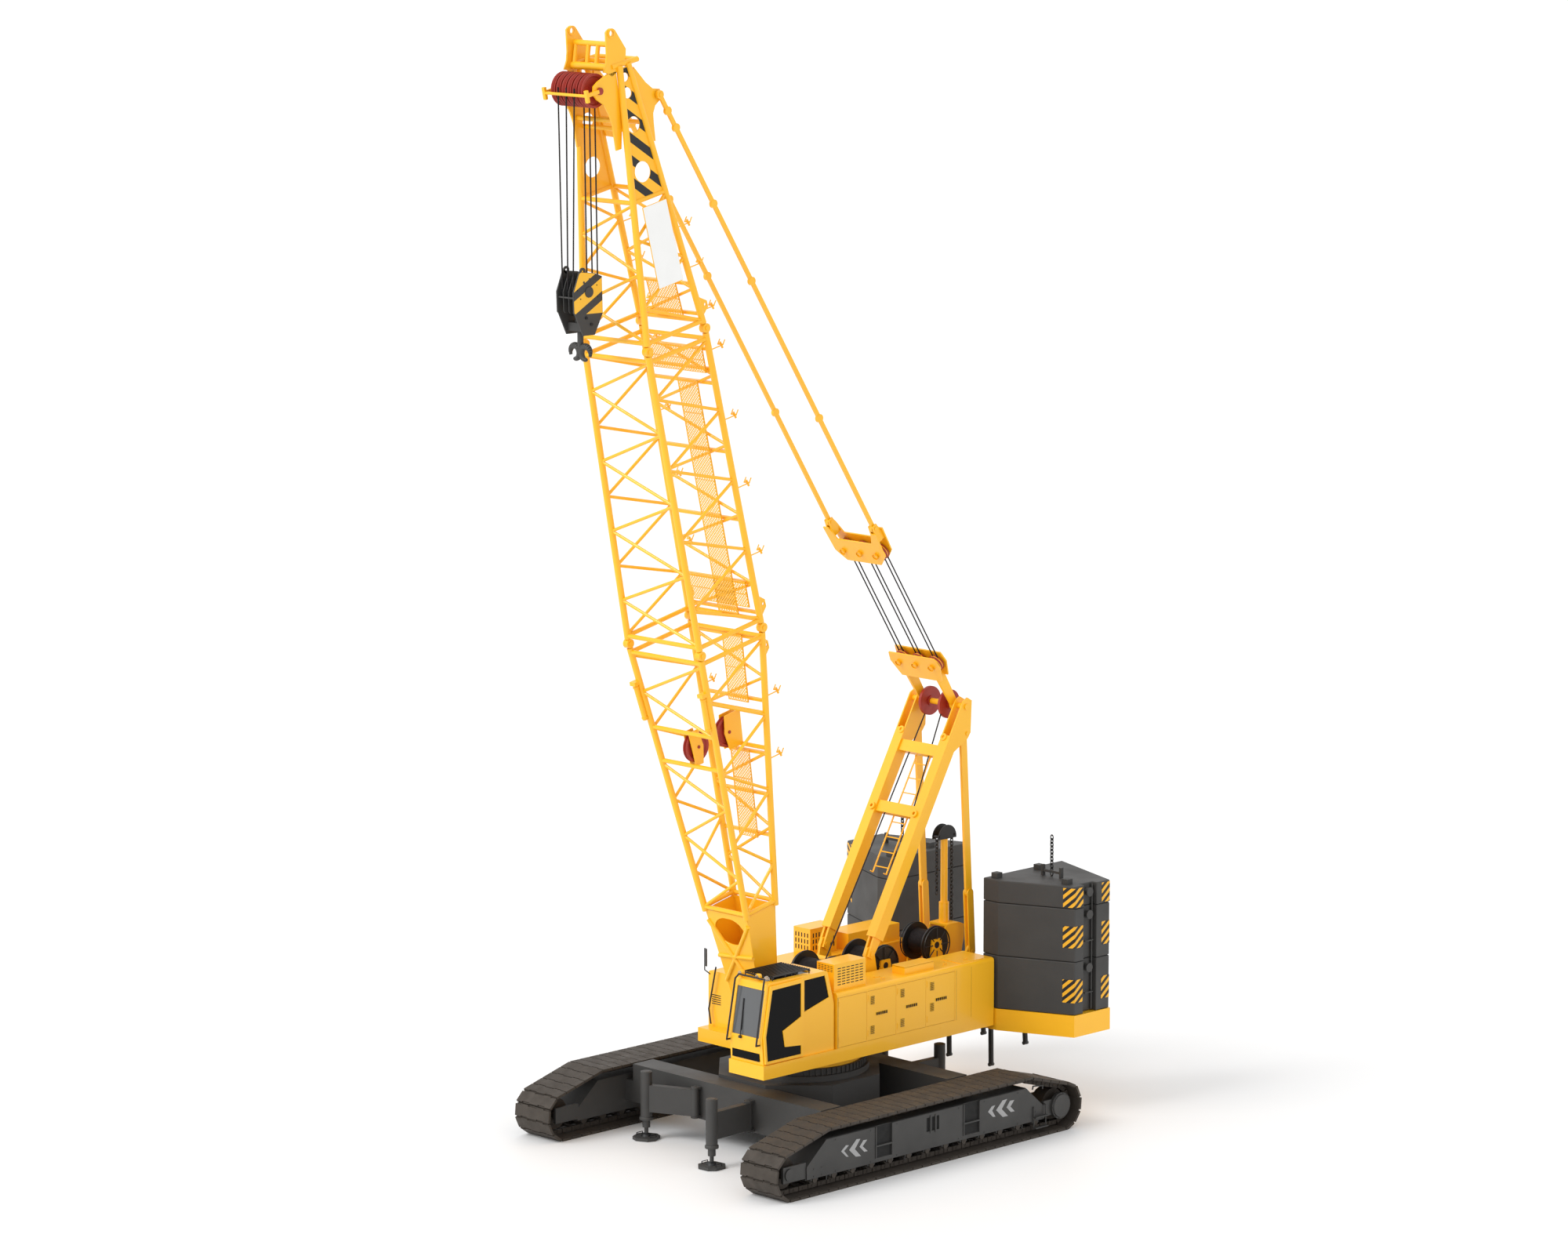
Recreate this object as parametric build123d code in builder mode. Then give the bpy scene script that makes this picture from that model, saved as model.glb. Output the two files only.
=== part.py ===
from build123d import *
from math import atan2, cos, degrees, hypot, radians, sin
import os

os.makedirs("parts", exist_ok=True)

# Crawler crane with a lattice boom. X is forward, Y is to the left (the cab's side), Z is up,
# and the origin is on the ground at the slewing axis. All sizes are in millimetres.

# Clearance round a pin, on its radius, and beside a hinge
pin_clearance = 0.5
hinge_radius = 12.5

# Running gear
gauge = 6500
shoe_width = 1000
track_length = 8700
track_height = 1290
wheel_height = 1000
shoe_count = 70
shoe_gap = 22
shoe_thickness = 85
chain_thickness = 95
chain_width = 420
top_run = 5700
frame_width = 680
running_gap = 2

# Car body and slewing ring
axle_spacing = 3600
axle_width = 560
axle_top = 1290
axle_bottom = 500
body_radius = 1750
body_top = 1480
ring_radius = 1330
ring_height = 130
ring_teeth = 72
slew_gap = 0.5

# Jacks
jack_pivot_y = 760
jack_reach = 1060
jack_radius = 118
jack_top = 1400
jack_bottom = 400
pad_size = 500
pad_clearance = 6
arm_width = 150
arm_bottom = 580
arm_top = 1130
arm_swings = {"front_left": 3, "front_right": -66, "rear_left": 177, "rear_right": 183}
lug_thickness = 40

# Upper works
deck_bottom = 1810
deck_top = 2090
deck_front = 1250
deck_rear = -3970
upper_width = 3300
girder_y = 430
girder_thickness = 40
house_top = 3230
house_inner = 770
house_wall = 40
left_house_front = 580
right_house_front = 950
door_gap = 6
door_post = 15
door_height = 1080
house_corner = 70

# Cab
cab_front = 2630
cab_rear = 810
cab_inner = 690
cab_top = 3730
cab_wall = 50
screen_lean = 190
slide_gap = 5

# Boom, measured along its own axis from the foot pin
boom_angle = 77.5
boom_foot_x = 1080
boom_foot_z = 2250
foot_half_width = 330
foot_pin_radius = 60
# Sections along the boom: distance, width, depth and the centre's offset
foot_box = (2730, 1176, 820, -10)
joint_low = (8480, 2032, 1710, -30)
joint_high = (14640, 1780, 1550, -30)
head_box = (20050, 1150, 220, -150)
chord_radius = 66
lacing_radius = 34
joint_gap = 1
head_sheave_s = 19720
head_sheave_e = 560
head_sheave_radius = 330
pendant_pin_s = 19250
pendant_pin_e = -890
pendant_pin_radius = 40
lug_hole_s = 20700
lug_spacing = 1094
plate = 40

# Hook block
hook_drop = 4020
block_width = 560
hook_size = 330

# Mast
mast_foot_x = -1350
mast_foot_z = 3570
mast_y = 640
mast_lean = 29.6
mast_length = 5570
mast_leg = 270
mast_leg_width = 240
sheave_radius_mast = 300
stay_top_s = 4980
stay_top_back = 300
stay_foot_x = -4330
stay_foot_z = 3150
stay_knee = 1240
stay_width = 170

# Winches
winch_front_x = -550
winch_rear_x = -2030
winch_z = 3180
winch_radius = 420
winch_width = 800
luffing_x = -3650
luffing_z = 3330
luffing_radius = 390
luffing_width = 570
drum_core = 0.62

# Counterweight
tray_bottom = 1710
tray_top = 2160
weight_top = 4845
weight_split = (3270, 4375)
weight_inner = 1280
weight_outer = 3270

# Lifting cylinder
lift_x = -4210
lift_foot_z = 3680
lift_top_z = 5480
lift_base_z = 2700
lift_barrel_z = 2200
lift_half = 200
lift_barrel_radius = 105
lift_rod_radius = 75

SIDES = {"left": 1, "right": -1}


def save(piece, name):
    piece.part.label = name
    export_step(piece.part, f"parts/{name}.step")


def block(x, y, z, mode=Mode.ADD):
    centre = ((x[0] + x[1]) / 2, (y[0] + y[1]) / 2, (z[0] + z[1]) / 2)
    with Locations(centre):
        Box(abs(x[1] - x[0]), abs(y[1] - y[0]), abs(z[1] - z[0]), mode=mode)


def side_plate(points, y, thickness, mode=Mode.ADD):
    """A plate whose outline lies in X and Z, centred on y."""
    with BuildSketch(Plane.XZ.offset(-y)) as outline:
        Polygon(*points, align=None)
    extrude(outline.sketch, amount=thickness / 2, both=True, mode=mode)


def cross_pin(x, z, y, radius, mode=Mode.ADD):
    """A cylinder along Y from y[0] to y[1]."""
    with Locations(Location((x, (y[0] + y[1]) / 2, z), (90, 0, 0))):
        Cylinder(radius, abs(y[1] - y[0]), mode=mode)


def upright(x, y, z, radius, mode=Mode.ADD):
    """A cylinder along Z from z[0] to z[1]."""
    with Locations((x, y, (z[0] + z[1]) / 2)):
        Cylinder(radius, z[1] - z[0], mode=mode)


def member(a, b, radius, sides=6):
    """A straight strut from a to b with a regular section."""
    start, end = Vector(*a), Vector(*b)
    with BuildPart() as strut:
        with BuildSketch(Plane(origin=start, z_dir=end - start)):
            RegularPolygon(radius, sides)
        extrude(amount=(end - start).length)
    return strut.part


def boom_plane(s=0, e=0):
    """The boom's section plane at s along its axis, with X forward of the boom."""
    lean = radians(boom_angle)
    x = boom_foot_x + s * cos(lean) + e * sin(lean)
    z = boom_foot_z + s * sin(lean) - e * cos(lean)
    return Plane(origin=(x, 0, z), x_dir=(sin(lean), 0, -cos(lean)), z_dir=(cos(lean), 0, sin(lean)))


def boom_point(s, e, y):
    plane = boom_plane(s, e)
    return (plane.origin.X, y, plane.origin.Z)


def boom_xz(s, e):
    point = boom_point(s, e, 0)
    return (point[0], point[2])


def mast_xz(s, e):
    """A point s along the mast and e behind its centre line."""
    lean = radians(mast_lean)
    return (
        mast_foot_x - s * sin(lean) - e * cos(lean),
        mast_foot_z + s * cos(lean) - e * sin(lean),
    )


# Running gear

wheel_radius = wheel_height / 2
wheel_x = track_length / 2 - wheel_radius


def track_path(inset):
    """The loop's outline, inset from the shoes' outer face, as points with the wheels' arcs."""
    radius = wheel_radius - inset
    top = track_height - inset
    return radius, top


def path_points(inset, count):
    """Points and headings spaced evenly round the loop."""
    radius, top = track_path(inset)
    low = wheel_radius - radius
    outline = [(wheel_x, low), (-wheel_x, low)]
    outline += [
        (-wheel_x + radius * cos(radians(270 - a)), wheel_radius + radius * sin(radians(270 - a)))
        for a in range(10, 171, 10)
    ]
    outline += [(-top_run / 2, top), (top_run / 2, top)]
    outline += [
        (wheel_x + radius * cos(radians(80 - a)), wheel_radius + radius * sin(radians(80 - a)))
        for a in range(0, 161, 10)
    ]
    outline.append(outline[0])
    spans = [hypot(b[0] - a[0], b[1] - a[1]) for a, b in zip(outline, outline[1:])]
    step = sum(spans) / count
    places = []
    for index in range(count):
        distance = index * step
        for (a, b), span in zip(zip(outline, outline[1:]), spans):
            if distance <= span:
                part = distance / span
                heading = degrees(atan2(b[1] - a[1], b[0] - a[0]))
                places.append((a[0] + (b[0] - a[0]) * part, a[1] + (b[1] - a[1]) * part, heading))
                break
            distance -= span
    return places, step, outline


centre = gauge / 2
shoes, shoe_pitch, _ = path_points(shoe_thickness / 2, shoe_count)
_, _, chain_outer = path_points(shoe_thickness * 0.8, shoe_count)
_, _, chain_inner = path_points(shoe_thickness + chain_thickness, shoe_count)
with BuildPart() as track_left:
    with BuildSketch(Plane.XZ.offset(-centre)):
        with Locations(*[Location((x, z), heading) for x, z, heading in shoes]):
            Rectangle(shoe_pitch - shoe_gap, shoe_thickness)
    extrude(amount=shoe_width / 2, both=True)
    with BuildSketch(Plane.XZ.offset(-centre)):
        Polygon(*chain_outer[:-1], align=None)
        Polygon(*chain_inner[:-1], align=None, mode=Mode.SUBTRACT)
    extrude(amount=chain_width / 2, both=True)

belt_inner = shoe_thickness + chain_thickness + running_gap
frame_low = 300
frame_end = wheel_x - wheel_radius + 60
frame_high = track_height - belt_inner - 70
frame_outline = [
    (-frame_end, frame_low),
    (frame_end, frame_low),
    (frame_end, wheel_radius + 60),
    (top_run / 2, frame_high),
    (-top_run / 2, frame_high),
    (-frame_end, wheel_radius + 60),
]
with BuildPart() as track_frame_left:
    side_plate(frame_outline, centre, frame_width)
    for end in (-1, 1):
        # The forks that carry the wheels' shafts
        for cheek in (-1, 1):
            block(
                (end * (frame_end - 20), end * (wheel_x + 160)),
                (centre + cheek * frame_width / 2, centre + cheek * (frame_width / 2 - 60)),
                (wheel_radius - 160, wheel_radius + 160),
            )

with BuildPart() as track_wheels_left:
    for end in (-1, 1):
        hub = (centre - frame_width / 2 + 60, centre + frame_width / 2 - 60)
        cross_pin(end * wheel_x, wheel_radius, (centre - 150, centre + 150), wheel_radius - belt_inner)
        cross_pin(end * wheel_x, wheel_radius, hub, 120)

for name, piece in {
    "track": track_left,
    "track_frame": track_frame_left,
    "track_wheels": track_wheels_left,
}.items():
    save(piece, f"{name}_left")
    with BuildPart() as right:
        mirror(piece.part, about=Plane.XZ)
    save(right, f"{name}_right")

# Car body and slewing ring

axle_front = (axle_spacing + axle_width) / 2
jack_pivot_x = axle_front + 110
frame_inner = gauge / 2 - frame_width / 2
track_inner = gauge / 2 - shoe_width / 2
with BuildPart() as car_body:
    for x in (-axle_spacing / 2, axle_spacing / 2):
        ends = (x - axle_width / 2, x + axle_width / 2)
        block(ends, (-track_inner + 60, track_inner - 60), (axle_bottom, axle_top))
        block(ends, (-frame_inner, frame_inner), (axle_bottom, frame_high - 100))
    with BuildSketch(Plane.XY.offset(axle_bottom)):
        RegularPolygon(body_radius, 8, rotation=22.5)
    extrude(amount=body_top - axle_bottom - 120)
    upright(0, 0, (axle_bottom, body_top), ring_radius + 80)
    for end in (-1, 1):
        for hand in (-1, 1):
            pivot = (end * jack_pivot_x, hand * jack_pivot_y)
            for low in (arm_bottom - lug_thickness - 3, arm_top + 3):
                level = (low, low + lug_thickness)
                block(
                    (end * (axle_front - 5), pivot[0]), (pivot[1] - 85, pivot[1] + 85), level
                )
                upright(*pivot, level, 85)
                upright(*pivot, level, 38 + pin_clearance, mode=Mode.SUBTRACT)
save(car_body, "car_body")

with BuildPart() as slew_ring:
    upright(0, 0, (body_top, body_top + ring_height), ring_radius)
    with PolarLocations(ring_radius, ring_teeth):
        with Locations((0, 0, body_top + ring_height / 2)):
            Box(50, 34, ring_height)
save(slew_ring, "slew_ring")

# Jacks: an arm with its cylinder, and a rod with its pad

for place, swing in arm_swings.items():
    end = 1 if place.startswith("front") else -1
    hand = 1 if place.endswith("left") else -1
    turn = radians(swing)
    here = Plane(
        origin=(end * jack_pivot_x, hand * jack_pivot_y, 0),
        x_dir=(cos(turn), sin(turn), 0),
        z_dir=(0, 0, 1),
    )
    with BuildPart(here) as jack_arm:
        upright(0, 0, (arm_bottom, arm_top), 80)
        upright(0, 0, (arm_bottom - lug_thickness - 10, arm_top + lug_thickness + 10), 38)
        block((0, jack_reach), (-arm_width / 2, arm_width / 2), (arm_bottom, arm_top))
        upright(jack_reach, 0, (jack_bottom, jack_top), jack_radius)
        upright(jack_reach, 0, (jack_bottom, jack_top - 60), 80, mode=Mode.SUBTRACT)
    save(jack_arm, f"jack_arm_{place}")
    with BuildPart(here) as jack_rod:
        upright(jack_reach, 0, (250, jack_top - 400), 80 - pin_clearance)
        upright(jack_reach, 0, (pad_clearance + 50, 260), 42)
        with Locations((jack_reach, 0, pad_clearance + 30)):
            Box(pad_size, pad_size, 60)
        edges = jack_rod.edges().filter_by(Axis.Z).filter_by(GeomType.LINE)
        chamfer(edges, length=120)
    save(jack_rod, f"jack_rod_{place}")

# Upper works: the deck with its girders and brackets

ring_top = body_top + ring_height
half_upper = upper_width / 2
bracket = 60
girder_top = boom_foot_z + 60
with BuildPart() as deck:
    upright(0, 0, (ring_top + slew_gap, deck_bottom), ring_radius - 60)
    block((deck_rear, deck_front), (-half_upper, half_upper), (deck_bottom, deck_top))
    block((deck_front, cab_front), (cab_inner - 20, half_upper), (deck_bottom, deck_top))
    for hand in (-1, 1):
        side_plate(
            [
                (deck_rear, deck_top - 5),
                (deck_front - 20, deck_top - 5),
                (boom_foot_x + 150, boom_foot_z),
                (boom_foot_x + 60, boom_foot_z + 140),
                (boom_foot_x - 60, boom_foot_z + 140),
                (boom_foot_x - 350, girder_top),
                (deck_rear, girder_top),
            ],
            hand * girder_y,
            girder_thickness,
        )
        # The mast's foot bracket
        side_plate(
            [
                (mast_foot_x - 420, deck_top - 5),
                (mast_foot_x + 420, deck_top - 5),
                (mast_foot_x + 130, mast_foot_z),
                (mast_foot_x + 70, mast_foot_z + 130),
                (mast_foot_x - 70, mast_foot_z + 130),
                (mast_foot_x - 130, mast_foot_z),
            ],
            hand * mast_y,
            bracket,
        )
        # The rear stay's bracket
        side_plate(
            [
                (deck_rear + 200, deck_top - 5),
                (deck_rear, deck_top - 5),
                (deck_rear, tray_top + 60),
                (stay_foot_x - 110, tray_top + 300),
                (stay_foot_x - 110, stay_foot_z + 60),
                (stay_foot_x - 60, stay_foot_z + 120),
                (stay_foot_x + 60, stay_foot_z + 120),
                (deck_rear + 200, tray_top + 400),
            ],
            hand * mast_y,
            bracket,
        )
    cross_pin(boom_foot_x, boom_foot_z, (-girder_y - 60, girder_y + 60), foot_pin_radius + pin_clearance, mode=Mode.SUBTRACT)
    cross_pin(mast_foot_x, mast_foot_z, (-mast_y - 60, mast_y + 60), 50 + pin_clearance, mode=Mode.SUBTRACT)
    cross_pin(stay_foot_x, stay_foot_z, (-mast_y - 60, mast_y + 60), 40 + pin_clearance, mode=Mode.SUBTRACT)
    cross_pin(mast_foot_x + 230, mast_foot_z - 250, (-mast_y, mast_y), 70)
    # The cross frame behind the deck that carries the lifting cylinder
    block(
        (lift_x - lift_half, lift_x + lift_half),
        (-mast_y, mast_y),
        (lift_base_z - 240, lift_base_z),
    )
    barrel_hole = lift_barrel_radius + pin_clearance
    upright(lift_x, 0, (lift_base_z - 250, lift_base_z + 1), barrel_hole, mode=Mode.SUBTRACT)
save(deck, "deck")

# Machinery houses and their doors: each wall is as thick as the whole panel

left_doors = {
    "left_door_1": (550, -280),
    "left_door_2": (-280, -1120),
    "left_door_3": (-1120, -1980),
    "left_door_4": (-1980, -2830),
}
right_doors = {"right_door_1": (900, -500), "right_door_2": (-1500, -3000)}


def house(front, hand, doors, name):
    outer, inner = hand * half_upper, hand * house_inner
    low = deck_top
    with BuildPart() as shell:
        block((deck_rear, front), (outer, inner), (low, house_top))
        corner = shell.edges().filter_by(Axis.X).sort_by(Axis.Z)[-2:]
        fillet(corner.sort_by(Axis.Y)[-1 if hand > 0 else 0], radius=house_corner)
        block(
            (deck_rear + house_wall, front - house_wall),
            (outer - hand * house_wall, inner + hand * house_wall),
            (low, house_top - house_wall),
            mode=Mode.SUBTRACT,
        )
        for start, stop in doors.values():
            block(
                (stop + door_post, start - door_post),
                (outer - hand * house_wall * 2, outer + hand * 10),
                (low + 20, low + 20 + door_height - 60),
                mode=Mode.SUBTRACT,
            )
    save(shell, name)
    for door_name, (start, stop) in doors.items():
        with BuildPart() as door:
            block(
                (stop + door_post + door_gap, start - door_post - pin_clearance),
                (outer - hand * house_wall, outer),
                (low + 20 + door_gap, low + 20 + door_height - 60 - door_gap),
            )
            hinge_x = start - door_post - pin_clearance - hinge_radius
            for level in (low + 120, low + door_height - 240):
                upright(hinge_x, outer, (level, level + 120), hinge_radius)
        save(door, door_name)


house(left_house_front, 1, left_doors, "house_left")
house(right_house_front, -1, right_doors, "house_right")

with BuildPart() as engine_block:
    block((-3800, -1500), (house_inner + 80, half_upper - 120), (deck_top, deck_top + 850))
save(engine_block, "engine_block")

with BuildPart() as roof_boxes:
    block((-380, 520), (1020, 1500), (house_top, house_top + 550))
    block((-2150, -1380), (-1550, -1070), (house_top, house_top + 560))
    block((-3800, -2300), (-1500, -880), (house_top, house_top + 350))
    block((-2380, -1530), (1120, 1470), (house_top, house_top + 150))
save(roof_boxes, "roof_boxes")

# Cab

cab_side = [
    (cab_rear - 190, deck_top),
    (cab_rear - 190, 3030),
    (cab_rear, cab_top),
    (cab_front - screen_lean, cab_top),
    (cab_front, 2600),
    (cab_front - 40, deck_top),
]
door_face = half_upper - cab_wall
cab_y = (cab_inner + door_face) / 2
with BuildPart() as cab_shell:
    side_plate(cab_side, cab_y, door_face - cab_inner)
    fillet(cab_shell.edges().filter_by(Axis.Y).group_by(Axis.Z)[-1], radius=90)
    front_edges = cab_shell.faces().sort_by(Axis.X)[-1].edges().filter_by(Axis.Y, reverse=True)
    with BuildSketch(Plane.XZ.offset(-cab_y)) as hollow:
        Polygon(*cab_side, align=None)
        offset(amount=-cab_wall, kind=Kind.INTERSECTION, mode=Mode.REPLACE)
    extrude(
        hollow.sketch, amount=(door_face - cab_inner) / 2 - cab_wall, both=True, mode=Mode.SUBTRACT
    )
    screen = (cab_inner + 60, door_face - 90)
    block((cab_front - 400, cab_front + 50), screen, (2630, 3570), mode=Mode.SUBTRACT)
    block((cab_front - 200, cab_front + 50), screen, (2160, 2320), mode=Mode.SUBTRACT)
    block((1120, 2170), (cab_inner + 130, door_face - 150), (3600, 3800), mode=Mode.SUBTRACT)
    side_plate(
        [(1450, 3630), (880, 3640), (760, 3180), (1450, 2990)], door_face, 200, mode=Mode.SUBTRACT
    )
    side_plate(
        [(1580, 2160), (2520, 2160), (2560, 2670), (2390, 3610), (1580, 3630)],
        door_face,
        200,
        mode=Mode.SUBTRACT,
    )
    side_plate(
        [(1120, 2730), (2500, 2730), (2370, 3570), (1120, 3590)], cab_inner, 200, mode=Mode.SUBTRACT
    )
save(cab_shell, "cab_shell")

with BuildPart() as cab_door:
    side_plate(
        [(1520, 2120), (2570, 2120), (2610, 2670), (2430, 3670), (1520, 3690)],
        half_upper - (cab_wall - slide_gap) / 2,
        cab_wall - slide_gap,
    )
    side_plate(
        [
            (1590, 2170),
            (2520, 2170),
            (2560, 2670),
            (2385, 3590),
            (1590, 3610),
            (1590, 2930),
            (2100, 2720),
            (2040, 2390),
            (1590, 2350),
        ],
        half_upper,
        200,
        mode=Mode.SUBTRACT,
    )
    # The shoe that runs on the cab's side
    block((1520, 1575), (door_face + pin_clearance, half_upper - cab_wall / 2), (2480, 2530))
save(cab_door, "cab_door")

# Winches: drums turn in frames that stand on the deck between the girders

winches = {
    "winch_drum_front": (winch_front_x, winch_z, winch_width, winch_radius),
    "winch_drum_rear": (winch_rear_x, winch_z, winch_width, winch_radius),
    "luffing_drum": (luffing_x, luffing_z, luffing_width, luffing_radius),
}
drum_gap = 12
cheek = 45
for name, (x, z, width, radius) in winches.items():
    with BuildPart() as drum:
        for hand in (-1, 1):
            face = hand * width / 2
            cross_pin(x, z, (face, face - hand * 35), radius)
        cross_pin(x, z, (-width / 2, width / 2), radius * drum_core)
        cross_pin(x, z, (-width / 2 - drum_gap - cheek, width / 2 + drum_gap + cheek), 70)
    save(drum, name)

with BuildPart() as winch_frames:
    for x, z, width, radius in winches.values():
        for hand in (-1, 1):
            face = hand * (width / 2 + drum_gap + cheek / 2)
            low = girder_top if width / 2 + drum_gap + cheek > girder_y - girder_thickness else deck_top
            side_plate(
                [(x - 300, low), (x + 300, low), (x + 130, z + 120), (x - 130, z + 120)],
                face,
                cheek,
            )
            cross_pin(x, z, (face - cheek, face + cheek), 70 + pin_clearance, mode=Mode.SUBTRACT)
save(winch_frames, "winch_frames")

# Counterweight: the tray and a stack of slabs on each side


def weight_outline(hand, inset):
    return [
        (deck_rear - 20 - inset, hand * (weight_inner + inset)),
        (deck_rear - 20 - inset, hand * (half_upper + 50 + inset)),
        (-4640 - inset, hand * (weight_outer - inset)),
        (-5720 + inset, hand * (weight_outer - inset)),
        (-6410 + inset * 1.5, hand * (weight_inner + inset)),
    ]


def slab(outline, low, high):
    with BuildSketch(Plane.XY.offset(low)) as plan:
        Polygon(*outline, align=None)
    extrude(plan.sketch, amount=high - low)


with BuildPart() as counterweight_tray:
    for hand in (-1, 1):
        slab(weight_outline(hand, 0), tray_bottom, tray_top)
    block((deck_rear, -5900), (-weight_inner - 1, weight_inner + 1), (tray_bottom, tray_top))
save(counterweight_tray, "counterweight_tray")

for side, hand in SIDES.items():
    levels = (tray_top, *weight_split, weight_top)
    for index, (low, high) in enumerate(zip(levels, levels[1:]), start=1):
        with BuildPart() as weight:
            slab(weight_outline(hand, 20), low, high)
        save(weight, f"counterweight_{side}_{index}")

# Lifting cylinder at the rear, with its chain head

with BuildPart() as lift_cylinder:
    for hand in (-1, 1):
        side_plate(
            [
                (lift_x - lift_half, lift_base_z),
                (lift_x + lift_half, lift_base_z),
                (lift_x + lift_half, lift_foot_z - 60),
                (lift_x + lift_half - 60, lift_foot_z),
                (lift_x - lift_half, lift_foot_z),
                (lift_x - lift_half - 150, lift_foot_z - 60),
                (lift_x - lift_half - 150, lift_foot_z - 330),
            ],
            hand * 220,
            plate,
        )
    block((lift_x - lift_half, lift_x + lift_half), (-220, 220), (lift_foot_z - plate, lift_foot_z))
    upright(lift_x, 0, (lift_barrel_z, lift_foot_z + 420), lift_barrel_radius)
    bore = lift_rod_radius + pin_clearance
    upright(lift_x, 0, (lift_barrel_z + plate, lift_foot_z + 421), bore, mode=Mode.SUBTRACT)
save(lift_cylinder, "lift_cylinder")

with BuildPart() as lift_rod:
    upright(lift_x, 0, (lift_foot_z - plate, lift_top_z), lift_rod_radius)
    side_plate(
        [
            (lift_x - 270, lift_top_z - 40),
            (lift_x + 270, lift_top_z - 40),
            (lift_x + 200, lift_top_z + 260),
            (lift_x - 200, lift_top_z + 260),
        ],
        0,
        220,
    )
save(lift_rod, "lift_rod")

print("upper works done")

# Boom sections: four chords, with lacing on each face


def corner(s, width, depth, offset, i):
    """Corner i of a boom section, counted round from the front left."""
    y = width / 2 * (1 if i in (0, 3) else -1)
    e = offset + depth / 2 * (1 if i in (0, 1) else -1)
    return boom_point(s, e, y)


def section(start, end, s):
    part = (s - start[0]) / (end[0] - start[0])
    return [a + (b - a) * part for a, b in zip(start[1:], end[1:])]


def lattice(start, end, bays, reach=30):
    """Chords between two sections, with a frame and diagonals in each bay."""
    members = []
    for i in range(4):
        low = corner(start[0] - reach, *section(start, end, start[0] - reach), i)
        high = corner(end[0] + reach, *section(start, end, end[0] + reach), i)
        members.append(member(low, high, chord_radius, 8))
    margin = 140
    step = (end[0] - start[0] - 2 * margin) / bays
    for bay in range(bays + 1):
        s = start[0] + margin + bay * step
        here = section(start, end, s)
        for i in range(4):
            members.append(member(corner(s, *here, i), corner(s, *here, (i + 1) % 4), lacing_radius))
            if bay < bays:
                there = section(start, end, s + step)
                lead, follow = (i, (i + 1) % 4) if (bay + i) % 2 else ((i + 1) % 4, i)
                foot = corner(s, *here, lead)
                head = corner(s + step, *there, follow)
                members.append(member(foot, head, lacing_radius))
    return members


lower_joint = joint_low[0]
upper_joint = joint_high[0]
foot_leg_s = 700
with BuildPart() as boom_foot:
    add(lattice(foot_box, joint_low, 5))
    ends = ((foot_leg_s, 2 * foot_half_width + 130, 480, -10), foot_box)
    for grow, mode in ((0, Mode.ADD), (-2 * plate, Mode.SUBTRACT)):
        for s, width, depth, offset_e in ends:
            with BuildSketch(boom_plane(s, offset_e)):
                Rectangle(depth + grow, width + grow)
        loft(mode=mode)
    for hand in (-1, 1):
        side_plate(
            [boom_xz(0, -130), boom_xz(0, 130), boom_xz(900, 200), boom_xz(900, -260)],
            hand * (foot_half_width + 20),
            60,
        )
        cross_pin(*boom_xz(0, 0), (hand * (foot_half_width - 10), hand * (foot_half_width + 50)), 130)
    cross_pin(*boom_xz(0, 0), (-girder_y - 40, girder_y + 40), foot_pin_radius)
    split(bisect_by=boom_plane(lower_joint - joint_gap), keep=Keep.BOTTOM)
save(boom_foot, "boom_foot")

with BuildPart() as boom_middle:
    add(lattice(joint_low, joint_high, 5))
    split(bisect_by=boom_plane(lower_joint), keep=Keep.TOP)
    split(bisect_by=boom_plane(upper_joint - joint_gap), keep=Keep.BOTTOM)
save(boom_middle, "boom_middle")

with BuildPart() as boom_head:
    add(lattice(joint_high, head_box, 5))
    split(bisect_by=boom_plane(upper_joint), keep=Keep.TOP)
    for hand in (-1, 1):
        y = hand * (lug_spacing / 2)
        side_plate(
            [
                boom_xz(19000, 200),
                boom_xz(19450, 420),
                boom_xz(lug_hole_s, 120),
                boom_xz(lug_hole_s + 110, 40),
                boom_xz(lug_hole_s + 60, -80),
                boom_xz(20000, -400),
                boom_xz(pendant_pin_s + 120, pendant_pin_e),
                boom_xz(pendant_pin_s - 60, pendant_pin_e - 90),
                boom_xz(pendant_pin_s - 120, pendant_pin_e + 60),
                boom_xz(18200, -600),
                boom_xz(18400, 200),
            ],
            y,
            plate,
        )
        side_plate(
            [
                boom_xz(18500, 350),
                boom_xz(head_sheave_s - 150, head_sheave_e + 60),
                boom_xz(head_sheave_s + 120, head_sheave_e + 60),
                boom_xz(19900, 100),
                boom_xz(18800, -100),
            ],
            y,
            plate,
        )
        cross_pin(*boom_xz(lug_hole_s, 20), (y - 60, y + 60), 60, mode=Mode.SUBTRACT)
        cross_pin(*boom_xz(pendant_pin_s, pendant_pin_e), (y, y + hand * 115), pendant_pin_radius)
    cross_pin(
        *boom_xz(head_sheave_s, head_sheave_e), (-700, 700), 70 + pin_clearance, mode=Mode.SUBTRACT
    )
save(boom_head, "boom_head")

with BuildPart() as head_sheaves:
    x, z = boom_xz(head_sheave_s, head_sheave_e)
    cross_pin(x, z, (-lug_spacing / 2 - 60, lug_spacing / 2 + 60), 70)
    for index in range(6):
        y = (index - 2.5) * 150
        cross_pin(x, z, (y - 50, y + 50), head_sheave_radius)
        cross_pin(x, z, (y - 60, y + 60), 110)
save(head_sheaves, "head_sheaves")

# Hook block

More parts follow.
